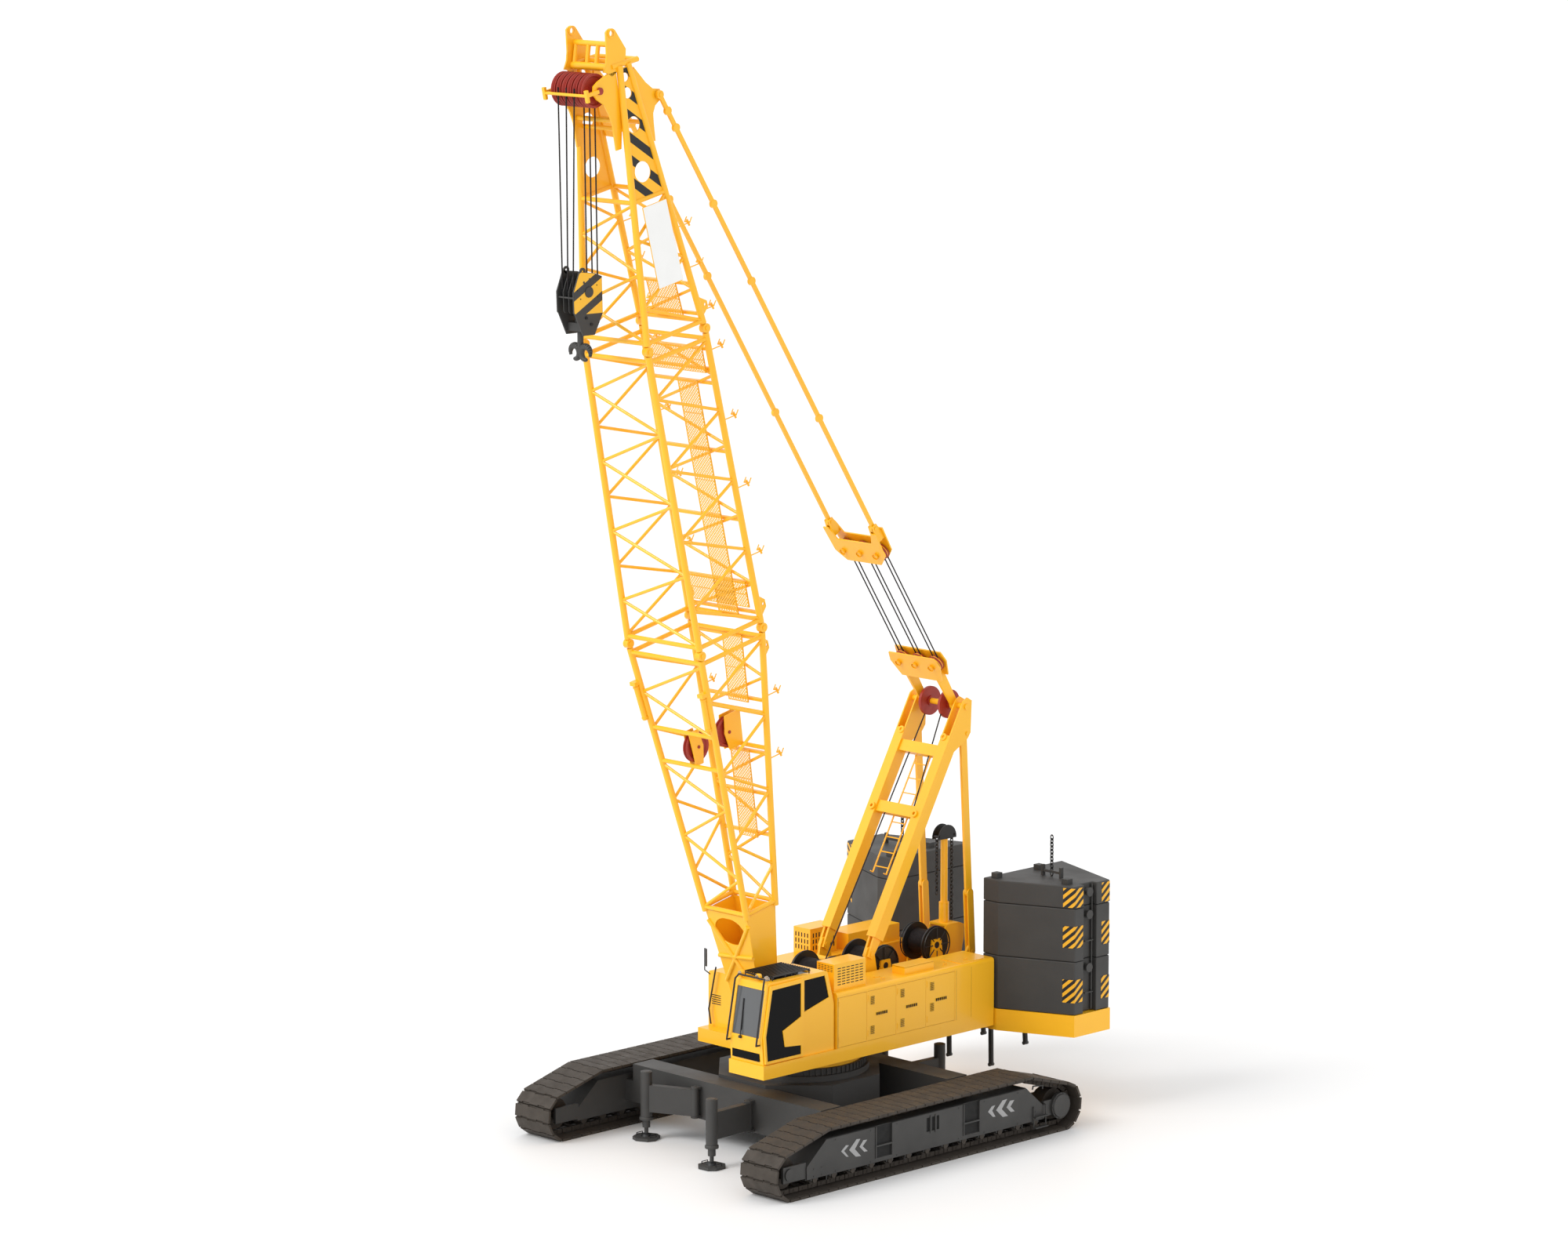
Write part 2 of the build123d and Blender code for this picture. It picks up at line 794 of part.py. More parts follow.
hook_x = boom_xz(head_sheave_s, head_sheave_e)[0]
hook_z = boom_xz(head_sheave_s, head_sheave_e)[1] - hook_drop
with BuildPart() as hook_block:
    for hand in (-1, 1):
        side_plate(
            [
                (hook_x + 250, hook_z + 560),
                (hook_x - 380, hook_z + 500),
                (hook_x - 400, hook_z - 250),
                (hook_x - 200, hook_z - 680),
                (hook_x + 200, hook_z - 680),
                (hook_x + 420, hook_z - 250),
                (hook_x + 420, hook_z + 150),
            ],
            hand * block_width / 2,
            plate,
        )
    cross_pin(hook_x, hook_z, (-block_width / 2 - 40, block_width / 2 + 40), 60)
    for index in range(3):
        y = (index - 1) * 150
        cross_pin(hook_x, hook_z, (y - 50, y + 50), hook_size)
    block((hook_x - 130, hook_x + 130), (-block_width / 2, block_width / 2), (hook_z - 660, hook_z - 480))
    upright(hook_x, 0, (hook_z - 661, hook_z - 479), 60 + pin_clearance, mode=Mode.SUBTRACT)
save(hook_block, "hook_block")

with BuildPart() as hook:
    upright(hook_x, 0, (hook_z - 900, hook_z - 440), 60)
    upright(hook_x, 0, (hook_z - 480 + pin_clearance, hook_z - 440), 110)
    for hand in (-1, 1):
        with BuildSketch(Plane.YZ.offset(hook_x)):
            with Locations((hand * 140, hook_z - 1000)):
                Circle(190)
                Circle(90, mode=Mode.SUBTRACT)
                with Locations((hand * 60, 160)):
                    Rectangle(120, 200, mode=Mode.SUBTRACT)
        extrude(amount=60, both=True)
save(hook, "hook")

print("boom done")

# Mast: two box legs with cheeks at head and foot, cross beams and the top shaft

shaft_s = mast_length - 120
shaft_radius = 60
cheek_offset = mast_leg_width / 2 - 15
with BuildPart() as mast:
    for hand in (-1, 1):
        y = hand * mast_y
        leg = [mast_xz(330, -mast_leg / 2), mast_xz(4750, -mast_leg / 2)]
        leg += [mast_xz(4750, mast_leg / 2), mast_xz(330, mast_leg / 2)]
        side_plate(leg, y, mast_leg_width)
        for cheek_side in (-1, 1):
            foot = [mast_xz(-90, -70), mast_xz(-90, 70), mast_xz(400, 110), mast_xz(400, -110)]
            side_plate(foot, y + cheek_side * (bracket / 2 + 25 + 5), 50)
            head = [
                mast_xz(4500, -mast_leg / 2),
                mast_xz(mast_length - 60, -mast_leg / 2),
                mast_xz(mast_length + 60, -60),
                mast_xz(mast_length + 60, 90),
                mast_xz(stay_top_s + 60, stay_top_back + 90),
                mast_xz(stay_top_s - 90, stay_top_back + 70),
                mast_xz(4500, mast_leg / 2),
            ]
            side_plate(head, y + cheek_side * cheek_offset, 30)
        cross_pin(*mast_xz(0, 0), (y - 100, y + 100), 50)
        cross_pin(*mast_xz(stay_top_s, stay_top_back), (y - 140, y + 140), 40)
    for s in (3050, 4400):
        beam = [mast_xz(s - 120, -90), mast_xz(s + 120, -90)]
        beam += [mast_xz(s + 120, 90), mast_xz(s - 120, 90)]
        side_plate(beam, 0, 2 * mast_y)
    cross_pin(*mast_xz(shaft_s, 0), (-mast_y - 150, mast_y + 150), shaft_radius)
save(mast, "mast")

with BuildPart() as mast_sheaves:
    for hand in (-1, 1):
        y = hand * 270
        cross_pin(*mast_xz(shaft_s, 0), (y - 30, y + 30), sheave_radius_mast)
        cross_pin(*mast_xz(shaft_s, 0), (y - 60, y + 60), 100)
    cross_pin(
        *mast_xz(shaft_s, 0), (-400, 400), shaft_radius + pin_clearance, mode=Mode.SUBTRACT
    )
save(mast_sheaves, "mast_sheaves")

# Rear stays: each side has a forked lower link on the deck and a flat upper link on the mast

stay_top = mast_xz(stay_top_s, stay_top_back)
stay_run = hypot(stay_top[0] - stay_foot_x, stay_top[1] - stay_foot_z)
stay_dir = ((stay_top[0] - stay_foot_x) / stay_run, (stay_top[1] - stay_foot_z) / stay_run)


def stay_xz(d, e):
    """A point d up the stay from its foot and e behind its line."""
    return (
        stay_foot_x + d * stay_dir[0] - e * stay_dir[1],
        stay_foot_z + d * stay_dir[1] + e * stay_dir[0],
    )


def link_plate(d, half, y, thickness):
    """A flat link with round ends between two points of the stay's line."""
    (x0, z0), (x1, z1) = stay_xz(d[0], 0), stay_xz(d[1], 0)
    side_plate(
        [stay_xz(d[0], -half), stay_xz(d[1], -half), stay_xz(d[1], half), stay_xz(d[0], half)],
        y,
        thickness,
    )
    for x, z in ((x0, z0), (x1, z1)):
        cross_pin(x, z, (y - thickness / 2, y + thickness / 2), half)


stay_thickness = 60
fork_gap = 6
with BuildPart() as stays_lower:
    for hand in (-1, 1):
        for cheek_side in (-1, 1):
            y = hand * mast_y + cheek_side * (stay_thickness / 2 + fork_gap + 15)
            link_plate((0, stay_knee), stay_width / 2, y, 30)
        cross_pin(stay_foot_x, stay_foot_z, (hand * mast_y - 80, hand * mast_y + 80), 40)
save(stays_lower, "stays_lower")

with BuildPart() as stays_upper:
    for hand in (-1, 1):
        link_plate((stay_knee, stay_run), stay_width / 2, hand * mast_y, stay_thickness)
        span = (hand * mast_y - 80, hand * mast_y + 80)
        cross_pin(*stay_top, span, 40 + pin_clearance, mode=Mode.SUBTRACT)
save(stays_upper, "stays_upper")

# Pendants from the boom head to the mast head, with a block of sheaves at each end of the rope

pin_x, pin_z = boom_xz(pendant_pin_s, pendant_pin_e)
top_x, top_z = mast_xz(shaft_s, 0)
pendant_run = hypot(top_x - pin_x, top_z - pin_z)
pendant_dir = ((top_x - pin_x) / pendant_run, (top_z - pin_z) / pendant_run)


def pendant_xz(d, e=0):
    """A point d down the pendants' line from the boom head and e above it."""
    return (
        pin_x + d * pendant_dir[0] + e * pendant_dir[1],
        pin_z + d * pendant_dir[1] - e * pendant_dir[0],
    )


def pendant_plane(d, e):
    """The plane across the pendants' line: X along the machine's Y, Y down the line."""
    x, z = pendant_xz(d, e)
    normal = (pendant_dir[1], 0, -pendant_dir[0])
    return Plane(origin=(x, 0, z), x_dir=(0, 1, 0), z_dir=normal)


bar_half = 42
eye_half = 85
pendant_y = lug_spacing / 2 + 70
joints = [0, 380, 780, 2600, 4480, 7900, 10720]
with BuildPart() as pendants:
    for hand in (-1, 1):
        y = hand * pendant_y
        side_plate(
            [
                pendant_xz(0, -bar_half),
                pendant_xz(joints[-1], -bar_half),
                pendant_xz(joints[-1], bar_half),
                pendant_xz(0, bar_half),
            ],
            y,
            50,
        )
        for d in joints:
            cross_pin(*pendant_xz(d), (y - 30, y + 30), eye_half)
        for d in (joints[0], joints[-1]):
            eye = pendant_pin_radius + pin_clearance
            cross_pin(*pendant_xz(d), (y - 60, y + 60), eye, mode=Mode.SUBTRACT)
save(pendants, "pendants")

block_half = 110
block_plate = 30
rope_sheave_radius = 170
rope_sheaves = (-460, 0, 460)


def rope_block(d, outline, sheave_d):
    """Two plates across the pendants' line, with three sheaves between them on short pins."""
    for hand in (-1, 1):
        with BuildSketch(pendant_plane(d, hand * block_half)) as face:
            Polygon(*outline, align=None)
        extrude(face.sketch, amount=block_plate / 2, both=True)
    for radius, half in ((rope_sheave_radius, 60), (100, block_half), (45, block_half + 45)):
        with BuildSketch(pendant_plane(sheave_d, 0)) as rounds:
            with Locations(*[(y, 0) for y in rope_sheaves]):
                Circle(radius)
        extrude(rounds.sketch, amount=half, both=True)


spreader_d = joints[-1] + 220
spreader_half = [(0, 120), (480, 120), (600, -160), (740, -160), (700, 420), (480, 660), (0, 660)]
spreader_outline = spreader_half + [(-x, y) for x, y in reversed(spreader_half[1:-1])]
link_end = block_half + block_plate / 2
with BuildPart() as spreader:
    rope_block(spreader_d, spreader_outline, spreader_d + 420)
    for hand in (-1, 1):
        y = hand * pendant_y
        lug = [pendant_xz(joints[-1] + d, e) for d, e in ((-80, -60), (300, -link_end))]
        lug += [pendant_xz(joints[-1] + d, e) for d, e in ((300, link_end), (-80, 60))]
        for cheek_side in (-1, 1):
            side_plate(lug, y + cheek_side * 52, 30)
        cross_pin(*pendant_xz(joints[-1]), (y - 80, y + 80), pendant_pin_radius)
save(spreader, "spreader")

lower_d = pendant_run - 1050
lower_outline = [(-640, -300), (640, -300), (700, -80), (560, 300), (-560, 300), (-700, -80)]
link_y = 430
with BuildPart() as lower_block:
    rope_block(lower_d, lower_outline, lower_d - 60)
    for hand in (-1, 1):
        link = [pendant_xz(d, e) for d, e in ((lower_d + 100, -link_end), (pendant_run, -90))]
        link += [pendant_xz(d, e) for d, e in ((pendant_run, 90), (lower_d + 100, link_end))]
        side_plate(link, hand * link_y, 50)
        cross_pin(top_x, top_z, (hand * link_y - 35, hand * link_y + 35), 110)
    cross_pin(top_x, top_z, (-500, 500), shaft_radius + pin_clearance, mode=Mode.SUBTRACT)
save(lower_block, "lower_block")

print("mast and pendants done")
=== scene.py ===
import math

import bmesh
import bpy
from mathutils import Matrix, Vector


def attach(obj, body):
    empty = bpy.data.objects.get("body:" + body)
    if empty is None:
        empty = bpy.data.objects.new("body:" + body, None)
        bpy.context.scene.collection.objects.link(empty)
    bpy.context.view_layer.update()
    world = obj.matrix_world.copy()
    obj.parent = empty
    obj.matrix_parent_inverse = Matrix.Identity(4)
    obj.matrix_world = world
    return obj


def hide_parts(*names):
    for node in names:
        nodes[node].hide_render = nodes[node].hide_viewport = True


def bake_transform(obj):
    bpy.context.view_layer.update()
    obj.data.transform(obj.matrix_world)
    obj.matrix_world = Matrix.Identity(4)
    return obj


scene = bpy.context.scene

# The photograph's view: a long lens from the front left, a little above the cab
view = {"place": (80.955, 81.310, 29.966), "yaw": 225.279, "pitch": -9.656, "lens": 133.99}
cameraData = bpy.data.cameras.new("camera")
cameraData.sensor_width = 36
cameraData.lens = view["lens"]
cameraData.clip_end = 2000
camera = bpy.data.objects.new("camera", cameraData)
camera.location = view["place"]
camera.rotation_euler = (math.radians(90 + view["pitch"]), 0, math.radians(view["yaw"] - 90))
scene.collection.objects.link(camera)
scene.camera = camera

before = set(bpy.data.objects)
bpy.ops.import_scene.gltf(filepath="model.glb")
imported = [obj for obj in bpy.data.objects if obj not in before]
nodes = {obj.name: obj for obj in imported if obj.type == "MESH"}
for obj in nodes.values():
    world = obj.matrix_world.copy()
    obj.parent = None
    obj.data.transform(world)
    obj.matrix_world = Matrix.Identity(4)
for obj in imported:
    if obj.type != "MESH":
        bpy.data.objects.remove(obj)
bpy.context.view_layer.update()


def linearColour(code):
    # sRGB hex to the linear values that the shader wants
    parts = [int(code[i : i + 2], 16) / 255 for i in (1, 3, 5)]
    return (*[p / 12.92 if p <= 0.04045 else ((p + 0.055) / 1.055) ** 2.4 for p in parts], 1)


def addNode(tree, kind, sockets, **settings):
    node = tree.nodes.new(kind)
    for name, value in settings.items():
        setattr(node, name, value)
    for socket, value in sockets.items():
        if isinstance(value, bpy.types.NodeSocket):
            tree.links.new(value, node.inputs[socket])
        else:
            node.inputs[socket].default_value = value
    return node


# Each finish: two tones, the size of the patches and of the grain in millimetres, and the surface
finishes = {
    # Polyurethane machine enamel, sprayed on steel: even, glossy, with a faint orange peel
    "yellowEnamel": {
        "tone": "#FFC017", "shade": "#F9B40F", "patch": 1400, "grain": 14, "relief": 0.04,
        "metallic": 0, "roughness": (0.34, 0.44), "ior": 1.5, "coat": 0.25,
    },
    # The same enamel in dark grey on castings and weights: flatter, and dusty
    "charcoalEnamel": {
        "tone": "#3D3C3A", "shade": "#353433", "patch": 700, "grain": 9, "relief": 0.12,
        "metallic": 0, "roughness": (0.5, 0.66), "ior": 1.5, "coat": 0,
    },
    # Black enamel on the winches and guards, half gloss
    "blackEnamel": {
        "tone": "#1D1D1E", "shade": "#151516", "patch": 500, "grain": 8, "relief": 0.06,
        "metallic": 0, "roughness": (0.36, 0.5), "ior": 1.5, "coat": 0,
    },
    # Cast manganese steel shoes with a first film of rust and dust
    "castTrackSteel": {
        "tone": "#4C443C", "shade": "#3B3631", "patch": 260, "grain": 12, "relief": 0.35,
        "metallic": 0.35, "roughness": (0.55, 0.78), "ior": 1.5, "coat": 0,
    },
    # Red oxide enamel on the rope sheaves, rubbed by the ropes
    "redEnamel": {
        "tone": "#A92D1C", "shade": "#8F2315", "patch": 120, "grain": 7, "relief": 0.08,
        "metallic": 0, "roughness": (0.4, 0.55), "ior": 1.5, "coat": 0.1,
    },
    # Drawn steel wire rope under black grease; the lay shows as fine slanting ridges
    "ropeSteel": {
        "tone": "#2C2829", "shade": "#1F1A1B", "patch": 60, "grain": 5, "relief": 0.5,
        "metallic": 0.6, "roughness": (0.45, 0.6), "ior": 1.5, "coat": 0,
    },
    # Forged chain and fittings, black from the oil bath
    "forgedSteel": {
        "tone": "#28282A", "shade": "#1C1C1E", "patch": 70, "grain": 5, "relief": 0.12,
        "metallic": 0.5, "roughness": (0.4, 0.58), "ior": 1.5, "coat": 0,
    },
    # White sign enamel, blank
    "whiteEnamel": {
        "tone": "#F4F4F2", "shade": "#EDEDEB", "patch": 300, "grain": 12, "relief": 0.03,
        "metallic": 0, "roughness": (0.3, 0.38), "ior": 1.5, "coat": 0.1,
    },
    # Grey marking film on the track frames
    "greyMarking": {
        "tone": "#A9A9A9", "shade": "#9B9B9B", "patch": 200, "grain": 6, "relief": 0.03,
        "metallic": 0, "roughness": (0.4, 0.5), "ior": 1.46, "coat": 0,
    },
    # Near-black colour of painted shade in the gaps between the slabs, the open bays and the vent slots,
    # also on the dark seams of the house; flat, with a dusty grain
    "seamShadow": {
        "tone": "#161615", "shade": "#0F0F0F", "patch": 120, "grain": 6, "relief": 0.1,
        "metallic": 0, "roughness": (0.75, 0.85), "ior": 1.5, "coat": 0,
    },
}


def newMaterial(name):
    made = bpy.data.materials.new(name)
    made.use_nodes = True
    tree = made.node_tree
    return made, tree, tree.nodes["Principled BSDF"]


def makeFinish(name, values):
    made, tree, shader = newMaterial(name)
    place = addNode(tree, "ShaderNodeTexCoord", {}).outputs["Object"]
    patches = addNode(
        tree, "ShaderNodeTexNoise", {"Vector": place, "Scale": 1000 / values["patch"], "Detail": 4.0}
    )
    grain = addNode(
        tree, "ShaderNodeTexNoise", {"Vector": place, "Scale": 1000 / values["grain"], "Detail": 2.0}
    )
    colour = addNode(
        tree,
        "ShaderNodeMix",
        {0: patches.outputs["Fac"], 6: linearColour(values["tone"]), 7: linearColour(values["shade"])},
        data_type="RGBA",
    )
    low, high = values["roughness"]
    rough = addNode(
        tree,
        "ShaderNodeMapRange",
        {"Value": patches.outputs["Fac"], "From Min": 0.3, "From Max": 0.7, "To Min": low, "To Max": high},
    )
    bump = addNode(
        tree,
        "ShaderNodeBump",
        {"Height": grain.outputs["Fac"], "Strength": values["relief"], "Distance": values["grain"] / 2000},
    )
    tree.links.new(colour.outputs[2], shader.inputs["Base Color"])
    tree.links.new(rough.outputs["Result"], shader.inputs["Roughness"])
    tree.links.new(bump.outputs["Normal"], shader.inputs["Normal"])
    shader.inputs["Metallic"].default_value = values["metallic"]
    shader.inputs["IOR"].default_value = values["ior"]
    shader.inputs["Coat Weight"].default_value = values["coat"]
    return made


def makeStriped(name, tones, direction, origin, period, share, roughness):
    # Two enamels in even slanting bands: a masked coat over the first colour
    made, tree, shader = newMaterial(name)
    place = addNode(tree, "ShaderNodeTexCoord", {}).outputs["Object"]
    offset = addNode(tree, "ShaderNodeVectorMath", {0: place, 1: tuple(origin)}, operation="SUBTRACT")
    along = addNode(
        tree,
        "ShaderNodeVectorMath",
        {0: offset.outputs[0], 1: tuple(Vector(direction) / period)},
        operation="DOT_PRODUCT",
    )
    phase = addNode(tree, "ShaderNodeMath", {0: along.outputs["Value"]}, operation="FRACT")
    band = addNode(tree, "ShaderNodeMath", {0: phase.outputs[0], 1: share}, operation="LESS_THAN")
    colour = addNode(
        tree,
        "ShaderNodeMix",
        {0: band.outputs[0], 6: linearColour(tones[0]), 7: linearColour(tones[1])},
        data_type="RGBA",
    )
    tree.links.new(colour.outputs[2], shader.inputs["Base Color"])
    shader.inputs["Roughness"].default_value = roughness
    shader.inputs["IOR"].default_value = 1.5
    return made


def makeGlass(name, tone, transmission, roughness, gloss):
    # Toughened cab glass, tinted, with a faint waviness
    made, tree, shader = newMaterial(name)
    place = addNode(tree, "ShaderNodeTexCoord", {}).outputs["Object"]
    waves = addNode(tree, "ShaderNodeTexNoise", {"Vector": place, "Scale": 2.5, "Detail": 1.0})
    bump = addNode(
        tree,
        "ShaderNodeBump",
        {"Height": waves.outputs["Fac"], "Strength": 0.05, "Distance": 0.004},
    )
    tree.links.new(bump.outputs["Normal"], shader.inputs["Normal"])
    shader.inputs["Base Color"].default_value = linearColour(tone)
    shader.inputs["Roughness"].default_value = roughness
    shader.inputs["IOR"].default_value = 1.52
    shader.inputs["Transmission Weight"].default_value = transmission
    shader.inputs["Specular IOR Level"].default_value = gloss
    return made


# Lines of the machine, in metres and degrees: the boom, the mast and the pendants between them
axes = {
    "boomFoot": (1.080, 2.250), "boomAngle": 77.5,
    "mastFoot": (-1.350, 3.570), "mastLean": 29.6,
    "pendantPin": (19.25, -0.89), "mastShaft": 5.45,
}
boomTurn, mastTurn = math.radians(axes["boomAngle"]), math.radians(axes["mastLean"])
boomUp = Vector((math.cos(boomTurn), 0, math.sin(boomTurn)))
boomOut = Vector((boomUp.z, 0, -boomUp.x))
mastUp = Vector((-math.sin(mastTurn), 0, math.cos(mastTurn)))
mastBack = Vector((-mastUp.z, 0, mastUp.x))


def sideways(y):
    return Vector((0, y, 0))


def boomAt(s, e, y=0.0):
    foot = Vector((axes["boomFoot"][0], y, axes["boomFoot"][1]))
    return foot + boomUp * s + boomOut * e


def mastAt(s, e, y=0.0):
    foot = Vector((axes["mastFoot"][0], y, axes["mastFoot"][1]))
    return foot + mastUp * s + mastBack * e


pendantTop = boomAt(*axes["pendantPin"])
pendantDown = (mastAt(axes["mastShaft"], 0) - pendantTop).normalized()
pendantAbove = Vector((pendantDown.z, 0, -pendantDown.x))


def pendantAt(d, e, y=0.0):
    return pendantTop + pendantDown * d + pendantAbove * e + sideways(y)


def boomSection(low, high, s):
    # Width, depth and middle of a boom section between two measured ends
    part = (s - low[0]) / (high[0] - low[0])
    return [a + (b - a) * part for a, b in zip(low[1:], high[1:])]


sections = {
    "foot": ((2.730, 1.176, 0.820, -0.010), (8.480, 2.032, 1.710, -0.030)),
    "middle": ((8.480, 2.032, 1.710, -0.030), (14.640, 1.780, 1.550, -0.030)),
    "head": ((14.640, 1.780, 1.550, -0.030), (20.050, 1.150, 0.220, -0.150)),
}

# Shapes that the pieces are built from


def frameOf(origin, across, up):
    # A place with X across, Y up and Z out of their plane
    across, up = Vector(across).normalized(), Vector(up).normalized()
    out = across.cross(up)
    place = Matrix((across, up, out)).transposed().to_4x4()
    place.translation = origin
    return place


def addBox(shape, low, high, place=Matrix.Identity(4)):
    low, high = Vector(low), Vector(high)
    grown = Matrix.Translation((low + high) / 2) @ Matrix.Diagonal((*(high - low), 1))
    bmesh.ops.create_cube(shape, size=1, matrix=place @ grown)


def addSideBox(shape, x, y, z, hand):
    # A box whose reach across the machine is given for the left side and mirrored for the right
    near, far = sorted((hand * y[0], hand * y[1]))
    addBox(shape, (x[0], near, z[0]), (x[1], far, z[1]))


def acrossAt(centre):
    # A place whose Z runs across the machine, for axles and sheaves
    return frameOf(centre, (0, 0, 1), (1, 0, 0))


def addRod(shape, start, end, radius, sides=12, tip=None):
    start, end = Vector(start), Vector(end)
    run = end - start
    turn = run.to_track_quat("Z", "Y").to_matrix().to_4x4()
    bmesh.ops.create_cone(
        shape, cap_ends=True, segments=sides, radius1=radius, radius2=radius if tip is None else tip,
        depth=run.length, matrix=Matrix.Translation((start + end) / 2) @ turn,
    )


def addPin(shape, centre, reach, radius, sides):
    # A rod across the machine, between two distances from its centre
    centre = Vector(centre)
    addRod(shape, centre + sideways(reach[0]), centre + sideways(reach[1]), radius, sides)


def addRail(shape, points, radius, sides=10):
    # A welded tube rail: straight lengths with a ball at each turn
    for start, end in zip(points, points[1:]):
        addRod(shape, start, end, radius, sides)
    for point in points[1:-1]:
        bmesh.ops.create_icosphere(
            shape, subdivisions=2, radius=radius * 1.02, matrix=Matrix.Translation(Vector(point))
        )


def addTurned(shape, profile, place, steps=24):
    # A turned part: radius and height pairs about the place's Z axis
    points = [shape.verts.new(place @ Vector((radius, 0, height))) for radius, height in profile]
    edges = [shape.edges.new(pair) for pair in zip(points, points[1:])]
    bmesh.ops.spin(
        shape, geom=points + edges, cent=place.translation, axis=place.to_3x3() @ Vector((0, 0, 1)),
        angle=math.tau, steps=steps, use_merge=True,
    )


def mirrored(profile):
    # A turned profile from the low end to the middle, and its mirror image above
    return profile + [(radius, -height) for radius, height in reversed(profile)]


def bossProfile(inner, outer, half):
    corners = mirrored([(inner, -half), (outer, -half)])
    return corners + corners[:1]


def addSlab(shape, outline, depth):
    # A flat outline drawn out along depth
    face = shape.faces.new([shape.verts.new(point) for point in outline])
    grown = bmesh.ops.extrude_face_region(shape, geom=[face])["geom"]
    moved = [part for part in grown if isinstance(part, bmesh.types.BMVert)]
    bmesh.ops.translate(shape, verts=moved, vec=Vector(depth))


def circle(x, y, radius, count=24):
    turns = [math.tau * index / count for index in range(count)]
    return [(x + radius * math.cos(turn), y + radius * math.sin(turn)) for turn in turns]


def addSheet(shape, outlines, thickness, place):
    # A flat sheet with holes: outlines in X and Y of the place, the outer one first
    curve = bpy.data.curves.new("sheet", "CURVE")
    curve.dimensions = "2D"
    curve.fill_mode = "BOTH"
    curve.extrude = thickness / 2
    for outline in outlines:
        spline = curve.splines.new("POLY")
        spline.points.add(len(outline) - 1)
        for point, (x, y) in zip(spline.points, outline):
            point.co = (x, y, 0, 1)
        spline.use_cyclic_u = True
    holder = bpy.data.objects.new("sheet", curve)
    mesh = bpy.data.meshes.new_from_object(holder)
    mesh.transform(place)
    shape.from_mesh(mesh)
    bpy.data.objects.remove(holder)
    bpy.data.curves.remove(curve)
    bpy.data.meshes.remove(mesh)


def addLink(shape, centre, along, out, length, radius):
    # One oval chain link, its plane spanned by along and out
    side = Vector(along).cross(Vector(out))
    place = Matrix((Vector(out), Vector(side), Vector(along))).transposed().to_4x4()
    place.translation = centre
    ring = bmesh.new()
    turned = Matrix.Translation((length * 0.32, 0, 0)) @ Matrix.Rotation(math.pi / 2, 4, "X")
    made = bmesh.ops.create_circle(ring, cap_ends=False, segments=6, radius=radius, matrix=turned)
    bmesh.ops.spin(
        ring, geom=made["verts"] + list(ring.edges), cent=(0, 0, 0), axis=(0, 0, 1),
        angle=math.tau, steps=12, use_merge=True,
    )
    flat = Matrix.Rotation(math.pi / 2, 4, "X")
    stretch = Matrix.Diagonal((1, 1, 1.5, 1))
    bmesh.ops.transform(ring, matrix=place @ stretch @ flat, verts=ring.verts)
    mesh = bpy.data.meshes.new("link")
    ring.to_mesh(mesh)
    ring.free()
    shape.from_mesh(mesh)
    bpy.data.meshes.remove(mesh)


def addChain(shape, top, bottom, pitch, radius):
    top, bottom = Vector(top), Vector(bottom)
    run = bottom - top
    count = round(run.length / pitch)
    for index in range(count):
        out = (1, 0, 0) if index % 2 else (0, 1, 0)
        centre = top + run * (index + 0.5) / count
        addLink(shape, centre, run.normalized(), out, pitch * 1.5, radius)


def addPiece(shape, name, finish, body, edge=0.0, replaced=()):
    bmesh.ops.remove_doubles(shape, verts=shape.verts, dist=1e-5)
    bmesh.ops.recalc_face_normals(shape, faces=shape.faces)
    mesh = bpy.data.meshes.new(name)
    shape.to_mesh(mesh)
    shape.free()
    mesh.materials.append(materials[finish])
    piece = bpy.data.objects.new(name, mesh)
    scene.collection.objects.link(piece)
    if edge:
        rounding = piece.modifiers.new("edges", "BEVEL")
        rounding.width = edge
        rounding.segments = 2
        rounding.limit_method = "ANGLE"
    if body:
        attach(piece, body)
    for node in replaced:
        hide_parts(node)
    return piece


materials = {name: makeFinish(name, values) for name, values in finishes.items()}

# Hazard paint: yellow and black bands, each set to the plate that carries it
hazard = {
    "headHazard": (("#FDBA1F", "#0F0F0F"), boomUp - boomOut, boomAt(0, 0), 0.5, 0.45),
    "hookHazard": (("#F4B92B", "#2F2F30"), (0.571, 0, 1), (5.895, 0, 17.616), 0.44, 0.4),
    "leftHazard": (("#F0AF19", "#0D0D0D"), (0.8, -0.6, 1), (-4.6, 3.1, 4.4), 0.17, 0.5),
    "rightHazard": (("#F0AF19", "#0D0D0D"), (0.8, 0.6, 1), (-4.6, -3.1, 4.4), 0.17, 0.5),
}
for name, (tones, direction, origin, period, share) in hazard.items():
    materials[name] = makeStriped(name, tones, direction, origin, period, share, 0.42)

# Panes: tone, share of light let through, roughness, and gloss, low on the darkly tinted ones
glazing = {
    "tintedGlass": ("#050506", 0.0, 0.05, 0.1),
    "screenGlass": ("#6E7072", 0.35, 0.06, 0.5),
    "lampGlass": ("#E9EBEC", 0.85, 0.12, 0.5),
}
for name, values in glazing.items():
    materials[name] = makeGlass(name, *values)

# What each carried-over piece is painted with; the rest is yellow
paintwork = {
    "charcoalEnamel": (
        "car_body", "track_frame", "counterweight", "slew_ring", "engine_block", "hook", "jack_"
    ),
    "castTrackSteel": ("track_left", "track_right", "track_wheels"),
    "blackEnamel": ("winch_drum", "luffing_drum"),
    "redEnamel": ("head_sheaves", "mast_sheaves"),
}
for name, node in nodes.items():
    chosen = "yellowEnamel"
    for finish, starts in paintwork.items():
        if name.startswith(starts) and name != "counterweight_tray":
            chosen = finish
    for slot in node.material_slots:
        slot.material = materials[chosen]
print("painted", len(nodes), "nodes")

